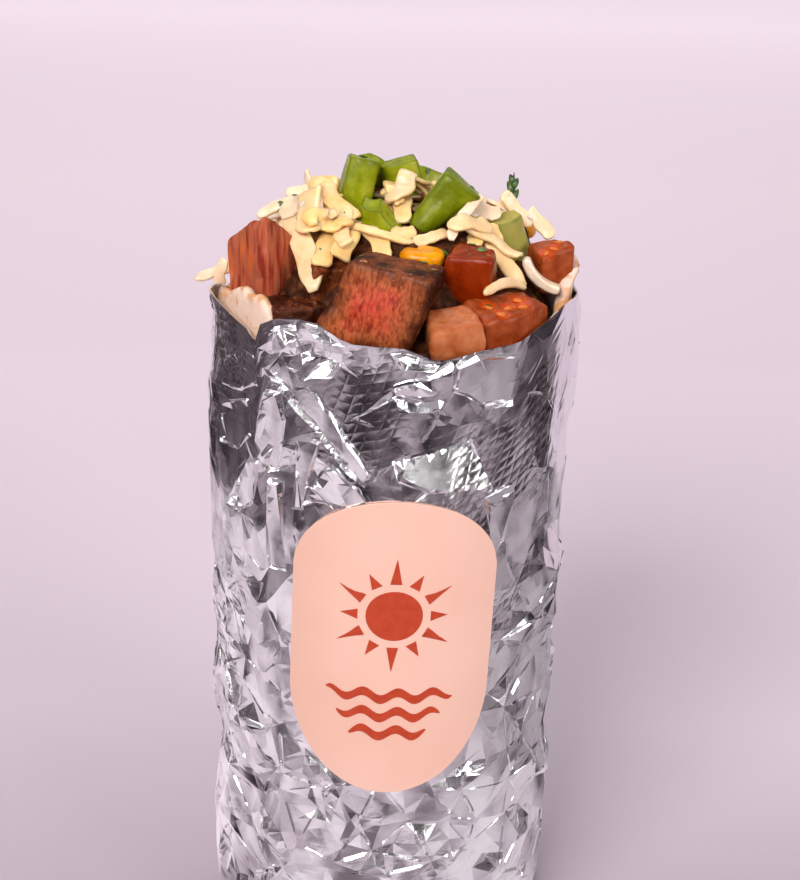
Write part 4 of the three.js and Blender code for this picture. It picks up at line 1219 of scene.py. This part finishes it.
def core_look():
    look = Look("filling_core")
    grains = look.cells(560)
    cloud = look.noise(420, 4, 0.6)
    # Partly painted shade: these browns are darker than the meat, for the shade deep in the gaps between the
    # toppings. The mix below makes them darker still towards the edges of the grains.
    colour = look.colours(cloud, (0.3, 46, 20, 8), (0.5, 84, 42, 18), (0.7, 128, 74, 36))
    return look.surface(
        Base_Color=look.mix(look.ramp(grains, (0.2, 0.0), (0.6, 0.7)), colour, srgb(30, 15, 11)),
        Roughness=look.patches(400, 2, (0.4, 0.45), (0.65, 0.8)),
        Specular_IOR_Level=0.08,
        Normal=look.bump(grains, 0.7),
    )


def smooth_path(points, count):
    """Points along a smooth curve through the given ones, spaced by their distances."""
    points = np.array(points, float)
    gaps = np.linalg.norm(np.diff(points, axis=0), axis=1)
    at = np.concatenate([[0], np.cumsum(gaps)])
    slopes = np.gradient(points, at, axis=0, edge_order=2 if len(points) > 2 else 1)
    wanted = np.linspace(0, at[-1], count)
    i = np.clip(np.searchsorted(at, wanted, side="right") - 1, 0, len(gaps) - 1)
    span = gaps[i][:, None]
    t = ((wanted - at[i]) / gaps[i])[:, None]
    return (
        points[i] * (2 * t**3 - 3 * t**2 + 1) + slopes[i] * span * (t**3 - 2 * t**2 + t)
        + points[i + 1] * (3 * t**2 - 2 * t**3) + slopes[i + 1] * span * (t**3 - t**2)
    )


def strip_mesh(path, width, seed, facing=None):
    """One shred of cheese: a soft-edged ribbon, hollowed on one side, with torn ends. (points, quads)"""
    rng = np.random.default_rng(seed)
    sections, around = 22, 12
    line = smooth_path(path, sections)
    along = unit_rows(np.gradient(line, axis=0))
    outward = line - OUTWARD_FROM if facing is None else np.broadcast_to(facing, line.shape)
    side = unit_rows(np.cross(along, outward))
    up = np.cross(side, along)
    twist = rng.uniform(-0.5, 0.5) * np.linspace(-1, 1, sections)[:, None]
    side, up = side * np.cos(twist) + up * np.sin(twist), up * np.cos(twist) - side * np.sin(twist)
    share = np.linspace(0, 1, sections)
    taper_start, taper_end = rng.uniform(0.35, 0.9, 2)
    taper = np.minimum(1, taper_start + share * 5) * np.minimum(1, taper_end + (1 - share) * 5)
    ragged = 1 + 0.07 * np.sin(share * rng.uniform(10, 20) + rng.uniform(0, 6))
    half = width / 2 * taper * ragged
    lean = 0.06 * width * np.sin(share * rng.uniform(4, 9) + rng.uniform(0, 6))
    turns = ring_angles(around)
    flat = signed_power(np.cos(turns), 0.4)
    high = signed_power(np.sin(turns), 0.55)
    hollow = 0.28 * STRIP_THICKNESS * (1 - flat**2) * (high < 0)
    across = flat * half[:, None] + lean[:, None]
    raised = high * STRIP_THICKNESS / 2 * (0.65 + 0.35 * taper[:, None]) + hollow
    rings = line[:, None] + across[..., None] * side[:, None] + raised[..., None] * up[:, None]
    ends = [rings[0].mean(0) - along[0] * STRIP_END, rings[-1].mean(0) + along[-1] * STRIP_END]
    points, faces = capped_rings(rings, ends)
    return points + 0.07 * noise_vectors(points, 1.3, 200, 2), faces


RAY_START = 0.4  # how high up, in metres, a ray down to the food starts


class Pile:
    """Strips that are laid one after another, each on what already lies there."""

    def __init__(self, below, bare):
        self.points, self.faces, self.tints = [], [], []
        self.count = 0
        self.trees = [(tree_of(piece), piece in bare) for piece in below]

    def top(self, x, y):
        """Height of whatever lies highest at x, y, in mm, and whether it stays bare."""
        highest, stays_bare = None, False
        for tree, bare in self.trees:
            place, _ = met_from_above(tree, x, y)
            if place is not None and (highest is None or place.z / MM > highest):
                highest, stays_bare = place.z / MM, bare
        return highest, stays_bare

    def add(self, points, faces, tint):
        self.faces += [tuple(i + self.count for i in face) for face in faces]
        self.points.append(points)
        self.tints.append(np.full(len(points), tint))
        self.count += len(points)
        self.trees.append((BVHTree.FromPolygons((points * MM).tolist(), faces), False))


def tree_of(piece):
    """A piece's mesh, to look for it with rays."""
    corners = [tuple(v.co) for v in piece.data.vertices]
    return BVHTree.FromPolygons(corners, [tuple(f.vertices) for f in piece.data.polygons])


def met_from_above(tree, x, y):
    """Where a ray straight down at x, y in mm meets a mesh, in metres, and its normal, or None twice."""
    return tree.ray_cast(Vector((x * MM, y * MM, RAY_START)), Vector((0, 0, -1)))[:2]


# Where more strips are scattered: (strips, middle x and y, reach, mean width, half lengths, seed).
SCATTERS = [
    (14, (-16, -2), 8, 3.8, (4, 8), 1),
    (2, (-11, -10), 4, 3.2, (3.5, 5), 5),
    (4, (1, 0), 7, 3.2, (3.5, 6), 6),
    (6, (14, -3), 8, 3.0, (3.5, 6.5), 7),
    (36, (2, 14), 17, 3.4, (4.5, 9), 2),
    (8, (21, 8), 6.5, 3.0, (4, 7), 3),
    (10, (-24, 13), 7, 3.0, (4, 8), 4),
    (9, (-26, 2), 7, 2.8, (3.5, 6), 8),
    (8, (26, 6), 8, 2.8, (3.5, 6), 9),
    (8, (0, 28), 9, 2.8, (3.5, 6), 10),
]

# The heap's outline from the front: (x, height at y = 0). Further back the same outline is lower.
HEAP_OUTLINE = [
    (-38, 150), (-30, 156.5), (-25.7, 158.3), (-21.3, 160.6), (-18.4, 163), (-14.3, 166), (-9, 169),
    (2.3, 170.5), (6.2, 167), (9, 167), (13.9, 164), (19.6, 162.8), (22.7, 162), (25.5, 159.8),
    (29.6, 155.5), (33.8, 150),
]
OUTLINE_FALL = 0.28  # mm lower for each mm further back

# Rules for a scattered strip, in mm.
STEEPEST = 3.4  # how far it may fall from one of its six points to the next
HEADROOM = 1.2  # how far its ground lies below the heap's outline
STRIPS_REACH = 31  # how far from the axis its middle line may come
CLEAR_OF_BARE = 1.3  # how far beside its middle line no bare food may lie
STRIP_LIFT = 0.5  # how far its middle line lies above the ground
TRIES = 900  # for each row of SCATTERS


def outline_height(x, y):
    xs, heights = np.array(HEAP_OUTLINE).T
    return np.interp(x, xs, heights) - OUTLINE_FALL * y


# No scattered strip's middle line passes here, before the feet of two peppers: (x, y, reach).
KEPT_CLEAR = [(-8.5, -3, 4.5), (4.5, -8, 5), (-11.5, 1, 3.5)]


def scattered_path(pile, rng, middle, reach, lengths):
    """The middle line of a strip that drapes over the pile, or None where the ground is too steep."""
    spread = rng.uniform(0, 1) ** 0.5 * reach
    direction, heading = rng.uniform(0, 2 * math.pi), rng.uniform(0, math.pi)
    x = middle[0] + spread * math.cos(direction)
    y = middle[1] + spread * math.sin(direction)
    half = rng.uniform(*lengths)
    bend = rng.uniform(-0.06, 0.06)
    spots = []
    for along in np.linspace(-1, 1, 6) * half:
        sx = x + along * math.cos(heading) - bend * along**2 * math.sin(heading)
        sy = y + along * math.sin(heading) + bend * along**2 * math.cos(heading)
        ground, bare = pile.top(sx, sy)
        if ground is None or bare or math.hypot(sx, sy) > STRIPS_REACH:
            return None
        if any(math.hypot(sx - cx, sy - cy) < clear for cx, cy, clear in KEPT_CLEAR):
            return None
        spots.append([sx, sy, ground])
    heights = np.array([spot[2] for spot in spots])
    limits = np.array([outline_height(sx, sy) for sx, sy, _ in spots])
    if np.abs(np.diff(heights)).max() > STEEPEST or (heights + HEADROOM > limits).any():
        return None
    across = CLEAR_OF_BARE * np.array([-math.sin(heading), math.cos(heading)])
    if any(pile.top(sx + k * across[0], sy + k * across[1])[1] for sx, sy, _ in spots for k in (-1, 1)):
        return None
    # It bridges small hollows: each point lies at least as high as the mean of the three round it.
    padded = np.pad(np.convolve(heights, np.ones(3) / 3, "valid"), 1, "edge")
    return [(sx, sy, max(z, mean) + STRIP_LIFT) for (sx, sy, z), mean in zip(spots, padded)]


def make_cheese(core, toppings):
    """Wide strips right on the filling, the placed strips, and strips scattered over it all."""
    # Strips may lie on these. The other pieces of food stay bare.
    covered = {"steak_low", "steak_middle", "steak_back_left", "steak_back_right", "tomato_back"}
    bare = [piece for name, piece in toppings.items() if name not in covered]
    pile = Pile([core, *toppings.values()], bare)
    for i, (width, start, end) in enumerate(BEDDING):
        path = [(sx, sy, heap_height(sx, sy) - 0.2) for sx, sy in np.linspace(start, end, 6)]
        pile.add(*strip_mesh(path, width, 50 + i), 0.2)
    for i, (width, tint, path, *facing) in enumerate(PLACED_STRIPS):
        pile.add(*strip_mesh(path, width, i, *facing), tint)
    for strips, middle, reach, width, lengths, seed in SCATTERS:
        rng = np.random.default_rng(seed)
        laid = 0
        for _ in range(TRIES):
            path = scattered_path(pile, rng, middle, reach, lengths)
            if path is not None:
                strip = strip_mesh(path, width * rng.uniform(0.7, 1.25), seed * 100 + laid)
                pile.add(*strip, rng.uniform(0, 1))
                laid += 1
            if laid == strips:
                break
    cheese = mesh_object("cheese_shreds", np.concatenate(pile.points), pile.faces, cheese_look())
    store(cheese, tint=np.concatenate(pile.tints))
    return ride_as(cheese, "filling", "filling")


def cheese_look():
    look = Look("cheese")
    tint = look.number("tint")
    cloud = look.noise(380, 3)
    cream = look.colours(cloud, (0.3, 214, 170, 94), (0.7, 229, 189, 122))
    white = look.colours(cloud, (0.3, 222, 188, 156), (0.7, 236, 210, 186))
    return look.surface(
        Base_Color=look.mix(tint, cream, white),
        Roughness=look.patches(500, 2, (0.4, 0.32), (0.65, 0.52)),
        subsurface=(0.5, (0.004, 0.003, 0.0015), 0.5),
        coat=(0.15, 0.25),
        Normal=look.bump(look.noise(1100, 3, 0.6), 0.1),
    )


# ---- The tortilla ----

TORN_FROM = 132  # height from which its wall is uneven


def make_tortilla():
    """The tortilla lines the foil, with a torn, browned edge standing above it in places."""
    steps = 220
    angles = ring_angles(steps) - math.pi
    edge = edge_height(TORTILLA_EDGE, angles)
    at_edge = points_at(angles, WRAP_RADIUS, edge)
    torn = 1.0 * noise(at_edge, 3.4, 71, 3) + 0.45 * noise(at_edge, 1.0, 72)
    edge = edge + torn
    outer, inner = TORTILLA_OUTER_RADIUS, TORTILLA_OUTER_RADIUS - TORTILLA_THICKNESS
    foil_edge = edge_height(FOIL_EDGE, angles)
    lean_share = np.exp(-(((angles - 1.6) / 0.35) ** 2)) * 1.6
    curl = 0.6 * noise(at_edge, 7, 73, 2)

    def wall(radius, height, share):
        lean = lean_share * smoothstep(height, 148, 151)
        out = curl * share * smoothstep(height, foil_edge - 2, foil_edge + 3)
        shifted = points_at(angles, radius + lean + out, height)
        return shifted + points_at(angles, 0.25 * noise(shifted, 2.2, 74, 2) * share, 0.0)

    foot = foot_radius(angles)
    plain_outside = [(foot - 2.5, 1.5), (outer, 10), (outer, TORN_FROM)]
    plain_inside = [(inner, TORN_FROM - 1), (inner, 13), (foot - 5.5, 4.5)]
    # The edge's section: (radius, how far below the edge).
    profile = [
        (outer, 8), (outer, 6), (outer, 4.5), (outer, 3), (outer - 0.1, 1.6), (outer - 0.25, 0.7),
        (outer - 0.6, 0.1), (outer - 1.1, 0), (outer - 1.7, 0.1), (outer - 2.3, 0.6), (outer - 2.7, 1.4),
        (inner, 2.8), (inner, 4.5), (inner, 6.5),
    ]
    rings = [points_at(angles, *ring) for ring in plain_outside]
    for radius, below in profile:
        lowest = TORN_FROM + 0.5 + (8 - below) * 0.2
        rings.append(wall(radius, np.maximum(edge - below, lowest), float(smoothstep(below, 7, 2))))
    rings += [points_at(angles, *ring) for ring in plain_inside]
    points, faces = capped_rings(rings, [(0, 0, 1.5), (0, 0, 4.5)])
    tortilla = mesh_object("tortilla_wrap", points, faces, tortilla_look())
    near_edge = [0, 0, 0, *(1 - smoothstep([below for _, below in profile], 0.3, 2.2)), 0, 0, 0]
    store(tortilla, near_edge=np.append(np.repeat(near_edge, steps), [0, 0]))
    ride_as(tortilla, "tortilla", "tortilla")


def tortilla_look():
    look = Look("tortilla")
    cloud = look.noise(130, 4, 0.6)
    spots = look.noise(190, 3, 0.55)
    dough = look.colours(cloud, (0.3, 204, 172, 148), (0.6, 218, 190, 172))
    toasted = look.ramp(spots, (0.56, 0.0), (0.66, 0.8))
    scorched = look.ramp(spots, (0.68, 0.0), (0.76, 0.8))
    near_edge = look.number("near_edge")
    edge_brown = look.math("MULTIPLY", near_edge, look.patches(300, 3, (0.46, 0.0), (0.58, 0.8)))
    baked = look.mix(edge_brown, dough, srgb(186, 124, 58))
    browned = look.mix(scorched, look.mix(toasted, baked, srgb(184, 124, 66)), srgb(112, 64, 28))
    relief = look.bump(cloud, 0.5, look.bump(look.noise(900, 3), 0.1))
    return look.surface(
        Base_Color=browned,
        Roughness=0.62,
        subsurface=(0.25, (0.003, 0.002, 0.001), 0.4),
        Normal=relief,
    )


# ---- The herb sprig ----

SPRIG_FOOT = (22.2, 6.5, 155.5)
# Its leaves: (height above its foot, reach to the right, rise of the tip).
SPRIG_LEAVES = [(3.8, -1.2, 2.4), (5.2, 1.1, 2.6), (6.4, -1.0, 2.8), (7.6, 0.9, 2.4), (8.6, -0.6, 2)]


def blade(start, end, half_width, seed):
    """A slim ruffled leaf or stalk from start to end, with six sides."""
    rng = np.random.default_rng(seed)
    rows, sides = 10, 6
    along = end - start
    side = unit_rows(np.cross(along, (0.2, 1, 0.1)))
    front = unit_rows(np.cross(side, along))
    turns = ring_angles(sides)[:, None]
    rings = []
    for share in np.arange(rows + 1) / rows:
        width = half_width * (math.sin(math.pi * min(1, share * 0.86 + 0.12)) ** 0.7 + 0.08)
        ruffle = 0.12 * math.sin(share * 11 + rng.uniform(0, 0.6))
        middle = start + along * share + front * ruffle
        thick = 0.16 + 0.1 * (1 - share)
        rings.append(middle + side * width * np.cos(turns) + front * thick * np.sin(turns))
    ends = [tuple(range(sides))[::-1], tuple(range(rows * sides, (rows + 1) * sides))]
    return np.concatenate(rings), ringed_faces(rows + 1, sides) + ends


def make_sprig():
    """A thin stalk with small ruffled leaves up its sides."""
    foot = np.array(SPRIG_FOOT)
    blades = [blade(foot + (0.4, 0, 0), foot + (0.3, 0, 11), 0.42, 1)]
    for i, (height, reach, rise) in enumerate(SPRIG_LEAVES):
        start = foot + (0.2, 0, height)
        blades.append(blade(start, start + (reach, 0.2 * (-1) ** i, rise), 0.55, 10 + i))
    sprig = mesh_object("herb", *merged(blades), herb_look())
    ride_as(sprig, "herb", "herb_sprig")


FLECKS_REACH = 30  # how far from the axis flecks may lie


def make_flecks(below):
    """Chopped herb that has fallen on the food: small bent flakes lying on whatever is highest."""
    trees = [tree_of(piece) for piece in below]
    rng = np.random.default_rng(7)
    spots = [(17.4, -22.4), (21.6, -22.6), (14.2, -14.4), *rng.uniform(-24, 24, (26, 2))]
    flakes = []
    for x, y in spots:
        hits = [hit for hit in (met_from_above(tree, x, y) for tree in trees) if hit[0] is not None]
        if not hits or math.hypot(x, y) > FLECKS_REACH:
            continue
        place, normal = map(np.array, max(hits, key=lambda hit: hit[0].z))
        frame = lying_frame(normal, rng)
        size = rng.uniform(0.4, 0.95)
        flakes.append(teardrop(place / MM + normal * 0.12, frame, (size * 1.3, size, 0.12)))
    flecks = mesh_object("herb_flecks", *merged(flakes), herb_look())
    ride_as(flecks, "herb")


def herb_look():
    look = Look("herb")
    return look.surface(
        Base_Color=look.colours(look.noise(700, 3), (0.35, 40, 66, 30), (0.65, 84, 112, 52)),
        Roughness=0.5,
        subsurface=(0.2, (0.001, 0.002, 0.0005), 0.3),
        Normal=look.bump(look.noise(1500, 2), 0.05),
    )


# ---- The label ----

PRINT_THICKNESS = 0.04
PLATE_GRID = 1.1  # spacing of the points inside the paper and the print

# The print. Heights are from the label's middle, and where a sun's ray starts and ends from the sun's.
SUN_HEIGHT = 8.2
SUN_RADIUS = 5.3
RAY_FOOT = 6.8
RAY_TIPS = (12.2, 10.1)  # long and short rays by turns
RAY_HALF_WIDTH = 1.1
WAVES = (12.2, 10.0, 7.4)  # half widths
WAVE_HEIGHT = -9.4  # the upper wave's
WAVE_SPACING = 4.2
WAVE_SWING = (0.85, 0.95)  # height of a crest, and radians for each mm along the wave
WAVE_BLUNTNESS = 0.02


def on_label(across, along, lift):
    """A point on the label from its own axes, lift mm above the foil side of the paper."""
    turned_across = across * math.cos(LABEL_TILT) + along * math.sin(LABEL_TILT)
    raised = along * math.cos(LABEL_TILT) - across * math.sin(LABEL_TILT)
    wave = 0.05 * np.sin(across / 3.1 + along / 9) * np.sin(along / 6.5)
    phi = LABEL_TURN + turned_across / WRAP_RADIUS
    return points_at(phi, LABEL_RADIUS + lift + wave, LABEL_CENTRE_HEIGHT + raised)


def label_outline():
    """The label's rounded outline, as points (across, along)."""
    angles = ring_angles(96)
    upward = np.round(np.cos(angles), 6)
    end = np.where(upward > 0, LABEL_TOP_END, LABEL_BOTTOM_END)
    along = end * upward + (LABEL_HALF_HEIGHT - end) * np.sign(upward)
    return np.stack([LABEL_HALF_WIDTH * np.sin(angles), along], -1)


def thin_plate(outlines, low, high):
    """A thin closed plate on the label inside the outlines, from low to high mm above the foil side.
    A point is inside where it lies in an odd number of outlines."""
    loops, edges = [], []
    for outline in outlines:
        first = len(loops)
        loops += [tuple(p) for p in outline]
        edges += loop_edges(len(outline), first)
    border = np.array(loops)
    columns, rows = (np.arange(*ends, PLATE_GRID) for ends in zip(border.min(0), border.max(0)))
    grid = np.array([(x, y) for x in columns for y in rows])
    to_border = np.hypot(*(grid[:, None] - border).T).min(0)
    inner = grid[in_odd_number(grid, outlines) & (to_border > 0.4 * PLATE_GRID)]
    flat, _, triangles, _ = triangulated([*loops, *inner], edges)
    middles = np.array([flat[triangle].mean(0) for triangle in triangles])
    kept = [triangles[i] for i in np.nonzero(in_odd_number(middles, outlines))[0]]
    count = len(flat)
    faces = kept + [[i + count for i in reversed(triangle)] for triangle in kept]
    sides = [side for triangle in kept for side in zip(triangle, triangle[1:] + triangle[:1])]
    # A side that no other triangle has the other way round lies on the border, where the plate is closed.
    known = set(sides)
    faces += [(b, a, a + count, b + count) for a, b in sides if (b, a) not in known]
    return np.concatenate([on_label(*flat.T, high), on_label(*flat.T, low)]), faces


def make_label():
    points, faces = thin_plate([label_outline()], 0.0, LABEL_THICKNESS)
    label = mesh_object("label_paper", points, faces, paper_look(), sharp_degrees=40)
    ride_as(label, "paper", "label")
    for name, outlines in label_motif().items():
        points, faces = thin_plate(outlines, LABEL_THICKNESS, LABEL_THICKNESS + PRINT_THICKNESS)
        motif = mesh_object(name, points, faces, ink_look(), sharp_degrees=40)
        ride_as(motif, "paper")


def label_motif():
    """A plain sun over three waves, in one colour."""
    middle, turns = np.array([0, SUN_HEIGHT]), ring_angles(48)
    sun = [middle + SUN_RADIUS * np.stack([np.cos(turns), np.sin(turns)], -1)]
    for k in range(12):
        angle = k * math.pi / 6
        out = np.array([math.sin(angle), math.cos(angle)])
        side = np.array([out[1], -out[0]]) * RAY_HALF_WIDTH
        foot = middle + out * RAY_FOOT
        sun.append([foot - side, foot + side, middle + out * RAY_TIPS[k % 2]])
    waves = []
    crest, turn = WAVE_SWING
    for row, half in enumerate(WAVES):
        xs = np.linspace(-half, half, 40)
        middle = WAVE_HEIGHT - WAVE_SPACING * row + crest * np.sin(xs * turn)
        taper = np.sqrt(np.maximum(WAVE_BLUNTNESS, 1 - (xs / half) ** 4))
        upper, lower = (np.stack([xs, middle + thick], -1) for thick in (taper, -taper))
        waves.append(np.concatenate([upper, lower[::-1]]))
    return {"label_sun": sun, "label_waves": waves}


def paper_look():
    look = Look("label_paper")
    fibre = look.noise(900, 4, 0.65)
    cloud = look.noise(40, 2)
    return look.surface(
        Base_Color=look.colours(cloud, (0.3, 214, 168, 150), (0.7, 219, 178, 162)),
        Roughness=look.ramp(fibre, (0.3, 0.55), (0.7, 0.7)),
        Specular_IOR_Level=0.3,
        Normal=look.bump(fibre, 0.02, look.bump(cloud, 0.3)),
    )


def ink_look():
    look = Look("label_ink")
    cloud = look.noise(600, 3)
    return look.surface(
        Base_Color=look.colours(cloud, (0.3, 165, 50, 18), (0.7, 177, 60, 26)),
        Roughness=0.5,
        Specular_IOR_Level=0.35,
        Normal=look.bump(cloud, 0.015),
    )


# ---- The studio ----

# The camera and the lights are placed in metres and degrees.
CAMERA_TARGET = (0.002, 0.0, 0.1121)
CAMERA_DISTANCE = 0.325
CAMERA_ELEVATION = 24.0
CAMERA_ROLL = 1.7
CAMERA_LENS = 65.4
LIGHT_TARGET = (0, 0, 0.1)

# Bright windows that show as sparkles in the creases: (direction in degrees, height of the lower and of the
# upper edge in mm, half width in degrees).
SPARKS = [
    (-52, 350, 800, 7), (-25, 500, 850, 4), (38, 420, 800, 5), (8, 620, 860, 5), (14, 300, 480, 4),
    (-78, 200, 420, 4), (-38, 180, 260, 3), (-8, 220, 330, 3), (26, 160, 250, 3), (58, 200, 420, 4),
    (85, 350, 800, 5), (-100, 350, 800, 5), (-96, 20, 120, 3), (-66, 30, 130, 2.5), (-44, 10, 90, 2),
    (-22, 20, 110, 2), (-3, 60, 150, 2), (20, 10, 90, 2), (44, 30, 120, 2.5), (70, 20, 120, 3),
    (96, 30, 150, 3),
]

# What the reflected cards glow with, as ramps over a noise pattern.
NEAR_GLOWS = srgb_stops(
    (0.39, 30, 22, 28), (0.42, 168, 153, 164), (0.5, 218, 203, 213), (0.6, 250, 236, 245),
)
DARK_GLOWS = srgb_stops((0.44, 40, 32, 36), (0.5, 104, 92, 98), (0.53, 150, 136, 144), (0.6, 206, 191, 200))
SIDE_GLOWS = srgb_stops((0.35, 36, 28, 32), (0.55, 84, 74, 80), (0.64, 128, 114, 120))
FOOT_GLOWS = srgb_stops((0.38, 120, 108, 116), (0.44, 186, 171, 182), (0.6, 255, 246, 252))
SPARK_GLOWS = [(0.4, (4, 4, 4)), (0.6, (5, 5, 4.8))]


def aim(placed, direction):
    """Turns a camera or a light to look in a direction."""
    placed.rotation_euler = direction.to_track_quat("-Z", "Y").to_euler()


def make_camera():
    data = bpy.data.cameras.new("camera")
    data.lens = CAMERA_LENS
    data.sensor_width = 36
    data.clip_start = 0.01
    camera = add_object("camera", data)
    elevation = math.radians(CAMERA_ELEVATION)
    away = Vector((0, -math.cos(elevation), math.sin(elevation))) * CAMERA_DISTANCE
    camera.location = Vector(CAMERA_TARGET) + away
    aim(camera, -away)
    camera.rotation_euler.rotate_axis("Z", math.radians(CAMERA_ROLL))
    bpy.context.scene.camera = camera


def make_card(name, points, faces, glows, patch_size=0.2, shade_to_right=1.0):
    """A card that only shows as a reflection, as the dark and bright sides of a studio do.
    Its glow varies in patches between colours, given as for a ramp, and is dimmed towards the right by a
    factor: a painted shadow in the reflection, for the shade that falls to the right of the burrito."""
    look = Look(name)
    look.tree.nodes.remove(look.shader)
    patches = look.ramp(look.noise(1 / patch_size, 2), *glows)
    strength = look.eased(look.axis(look.here, "X"), (0, 0.1), (1, shade_to_right))
    glow = look.add("Emission", {"Color": patches, "Strength": strength})
    look.tree.links.new(glow.outputs[0], look.tree.nodes["Material Output"].inputs[0])
    card = mesh_object(name, points, faces, look.material)
    card.visible_camera = False
    card.visible_diffuse = False
    card.visible_transmission = False
    card.visible_shadow = False


def ring_sector(inner, outer, low, high, middle, half_angle, steps=24):
    """A band round the studio between two radii and heights, over an arc of directions."""
    angles = np.radians(np.linspace(middle - half_angle, middle + half_angle, steps + 1))
    points = np.concatenate([points_at(angles, inner, low), points_at(angles, outer, high)])
    faces = [(i, i + 1, i + steps + 2, i + steps + 1) for i in range(steps)]
    return points, faces


def make_floor():
    look = Look("floor")
    away = look.axis(look.here, "Y")
    # Painted shade: the floor's colour gets darker towards the front.
    tint = look.colours(
        look.eased(away, (-0.1, 1.3)),
        (0.0, 160, 147, 158), (0.07, 168, 155, 166), (0.12, 198, 184, 196),
        (0.3, 228, 212, 224), (0.5, 236, 220, 230),
    )
    # Painted light: further back the floor also glows, lighter than its colour could reflect.
    look.surface(
        Base_Color=tint,
        Roughness=0.9,
        Specular_IOR_Level=0.1,
        Emission_Color=srgb(238, 222, 233),
        Emission_Strength=look.eased(away, (0.35, 1.2), (0, 0.6)),
    )
    half = 4000.0
    corners = [(-half, -half, 0), (half, -half, 0), (half, half, 0), (-half, half, 0)]
    mesh_object("floor", corners, [(0, 1, 2, 3)], look.material)


def make_light(name, position, size, power, colour):
    data = bpy.data.lights.new(name, "AREA")
    data.shape = "SQUARE"
    data.size = size
    data.energy = power
    data.color = colour
    light = add_object(name, data)
    light.location = position
    aim(light, Vector(LIGHT_TARGET) - Vector(position))


def make_studio():
    scene = bpy.context.scene
    scene.view_settings.view_transform = "Standard"
    world = bpy.data.worlds.new("studio")
    world.use_nodes = True
    background = world.node_tree.nodes["Background"]
    background.inputs["Color"].default_value = (0.9, 0.84, 0.9, 1)
    background.inputs["Strength"].default_value = 0.38
    scene.world = world
    make_floor()
    make_light("key", (-0.3, -0.62, 0.66), 0.42, 8.6, (1, 0.97, 0.94))
    make_light("fill", (0.6, -0.5, 0.45), 0.4, 3.8, (1, 0.98, 0.97))
    make_light("top", (-0.1, 0.35, 0.9), 0.6, 2.6, (1, 0.98, 0.97))
    make_card("near_floor", *ring_sector(37, 240, 0.5, 0.5, 0, 180), NEAR_GLOWS, 0.045, 0.55)
    make_card("far_floor", *ring_sector(240, 1500, 1.0, 1.0, -16, 134), DARK_GLOWS, 0.15, 0.8)
    make_card("dark_side", *ring_sector(240, 640, 2.0, 2.0, -106, 26), SIDE_GLOWS, 0.08)
    make_card("foot_floor", *ring_sector(37, 96, 1.0, 1.0, 0, 70), FOOT_GLOWS, 0.045, 0.62)
    make_card("dark_wall", *ring_sector(1500, 1500, 0, 900, -16, 134), DARK_GLOWS, 0.3, 0.8)
    for i, (middle, low, high, half_angle) in enumerate(SPARKS):
        make_card(f"spark_{i}", *ring_sector(1400, 1400, low, high, middle, half_angle, 4), SPARK_GLOWS)


make_camera()
make_studio()
make_foil()
make_label()
make_tortilla()
toppings = make_toppings()
core = make_core()
make_sprig()
cheese = make_cheese(core, toppings)
make_flecks([core, cheese, *toppings.values()])
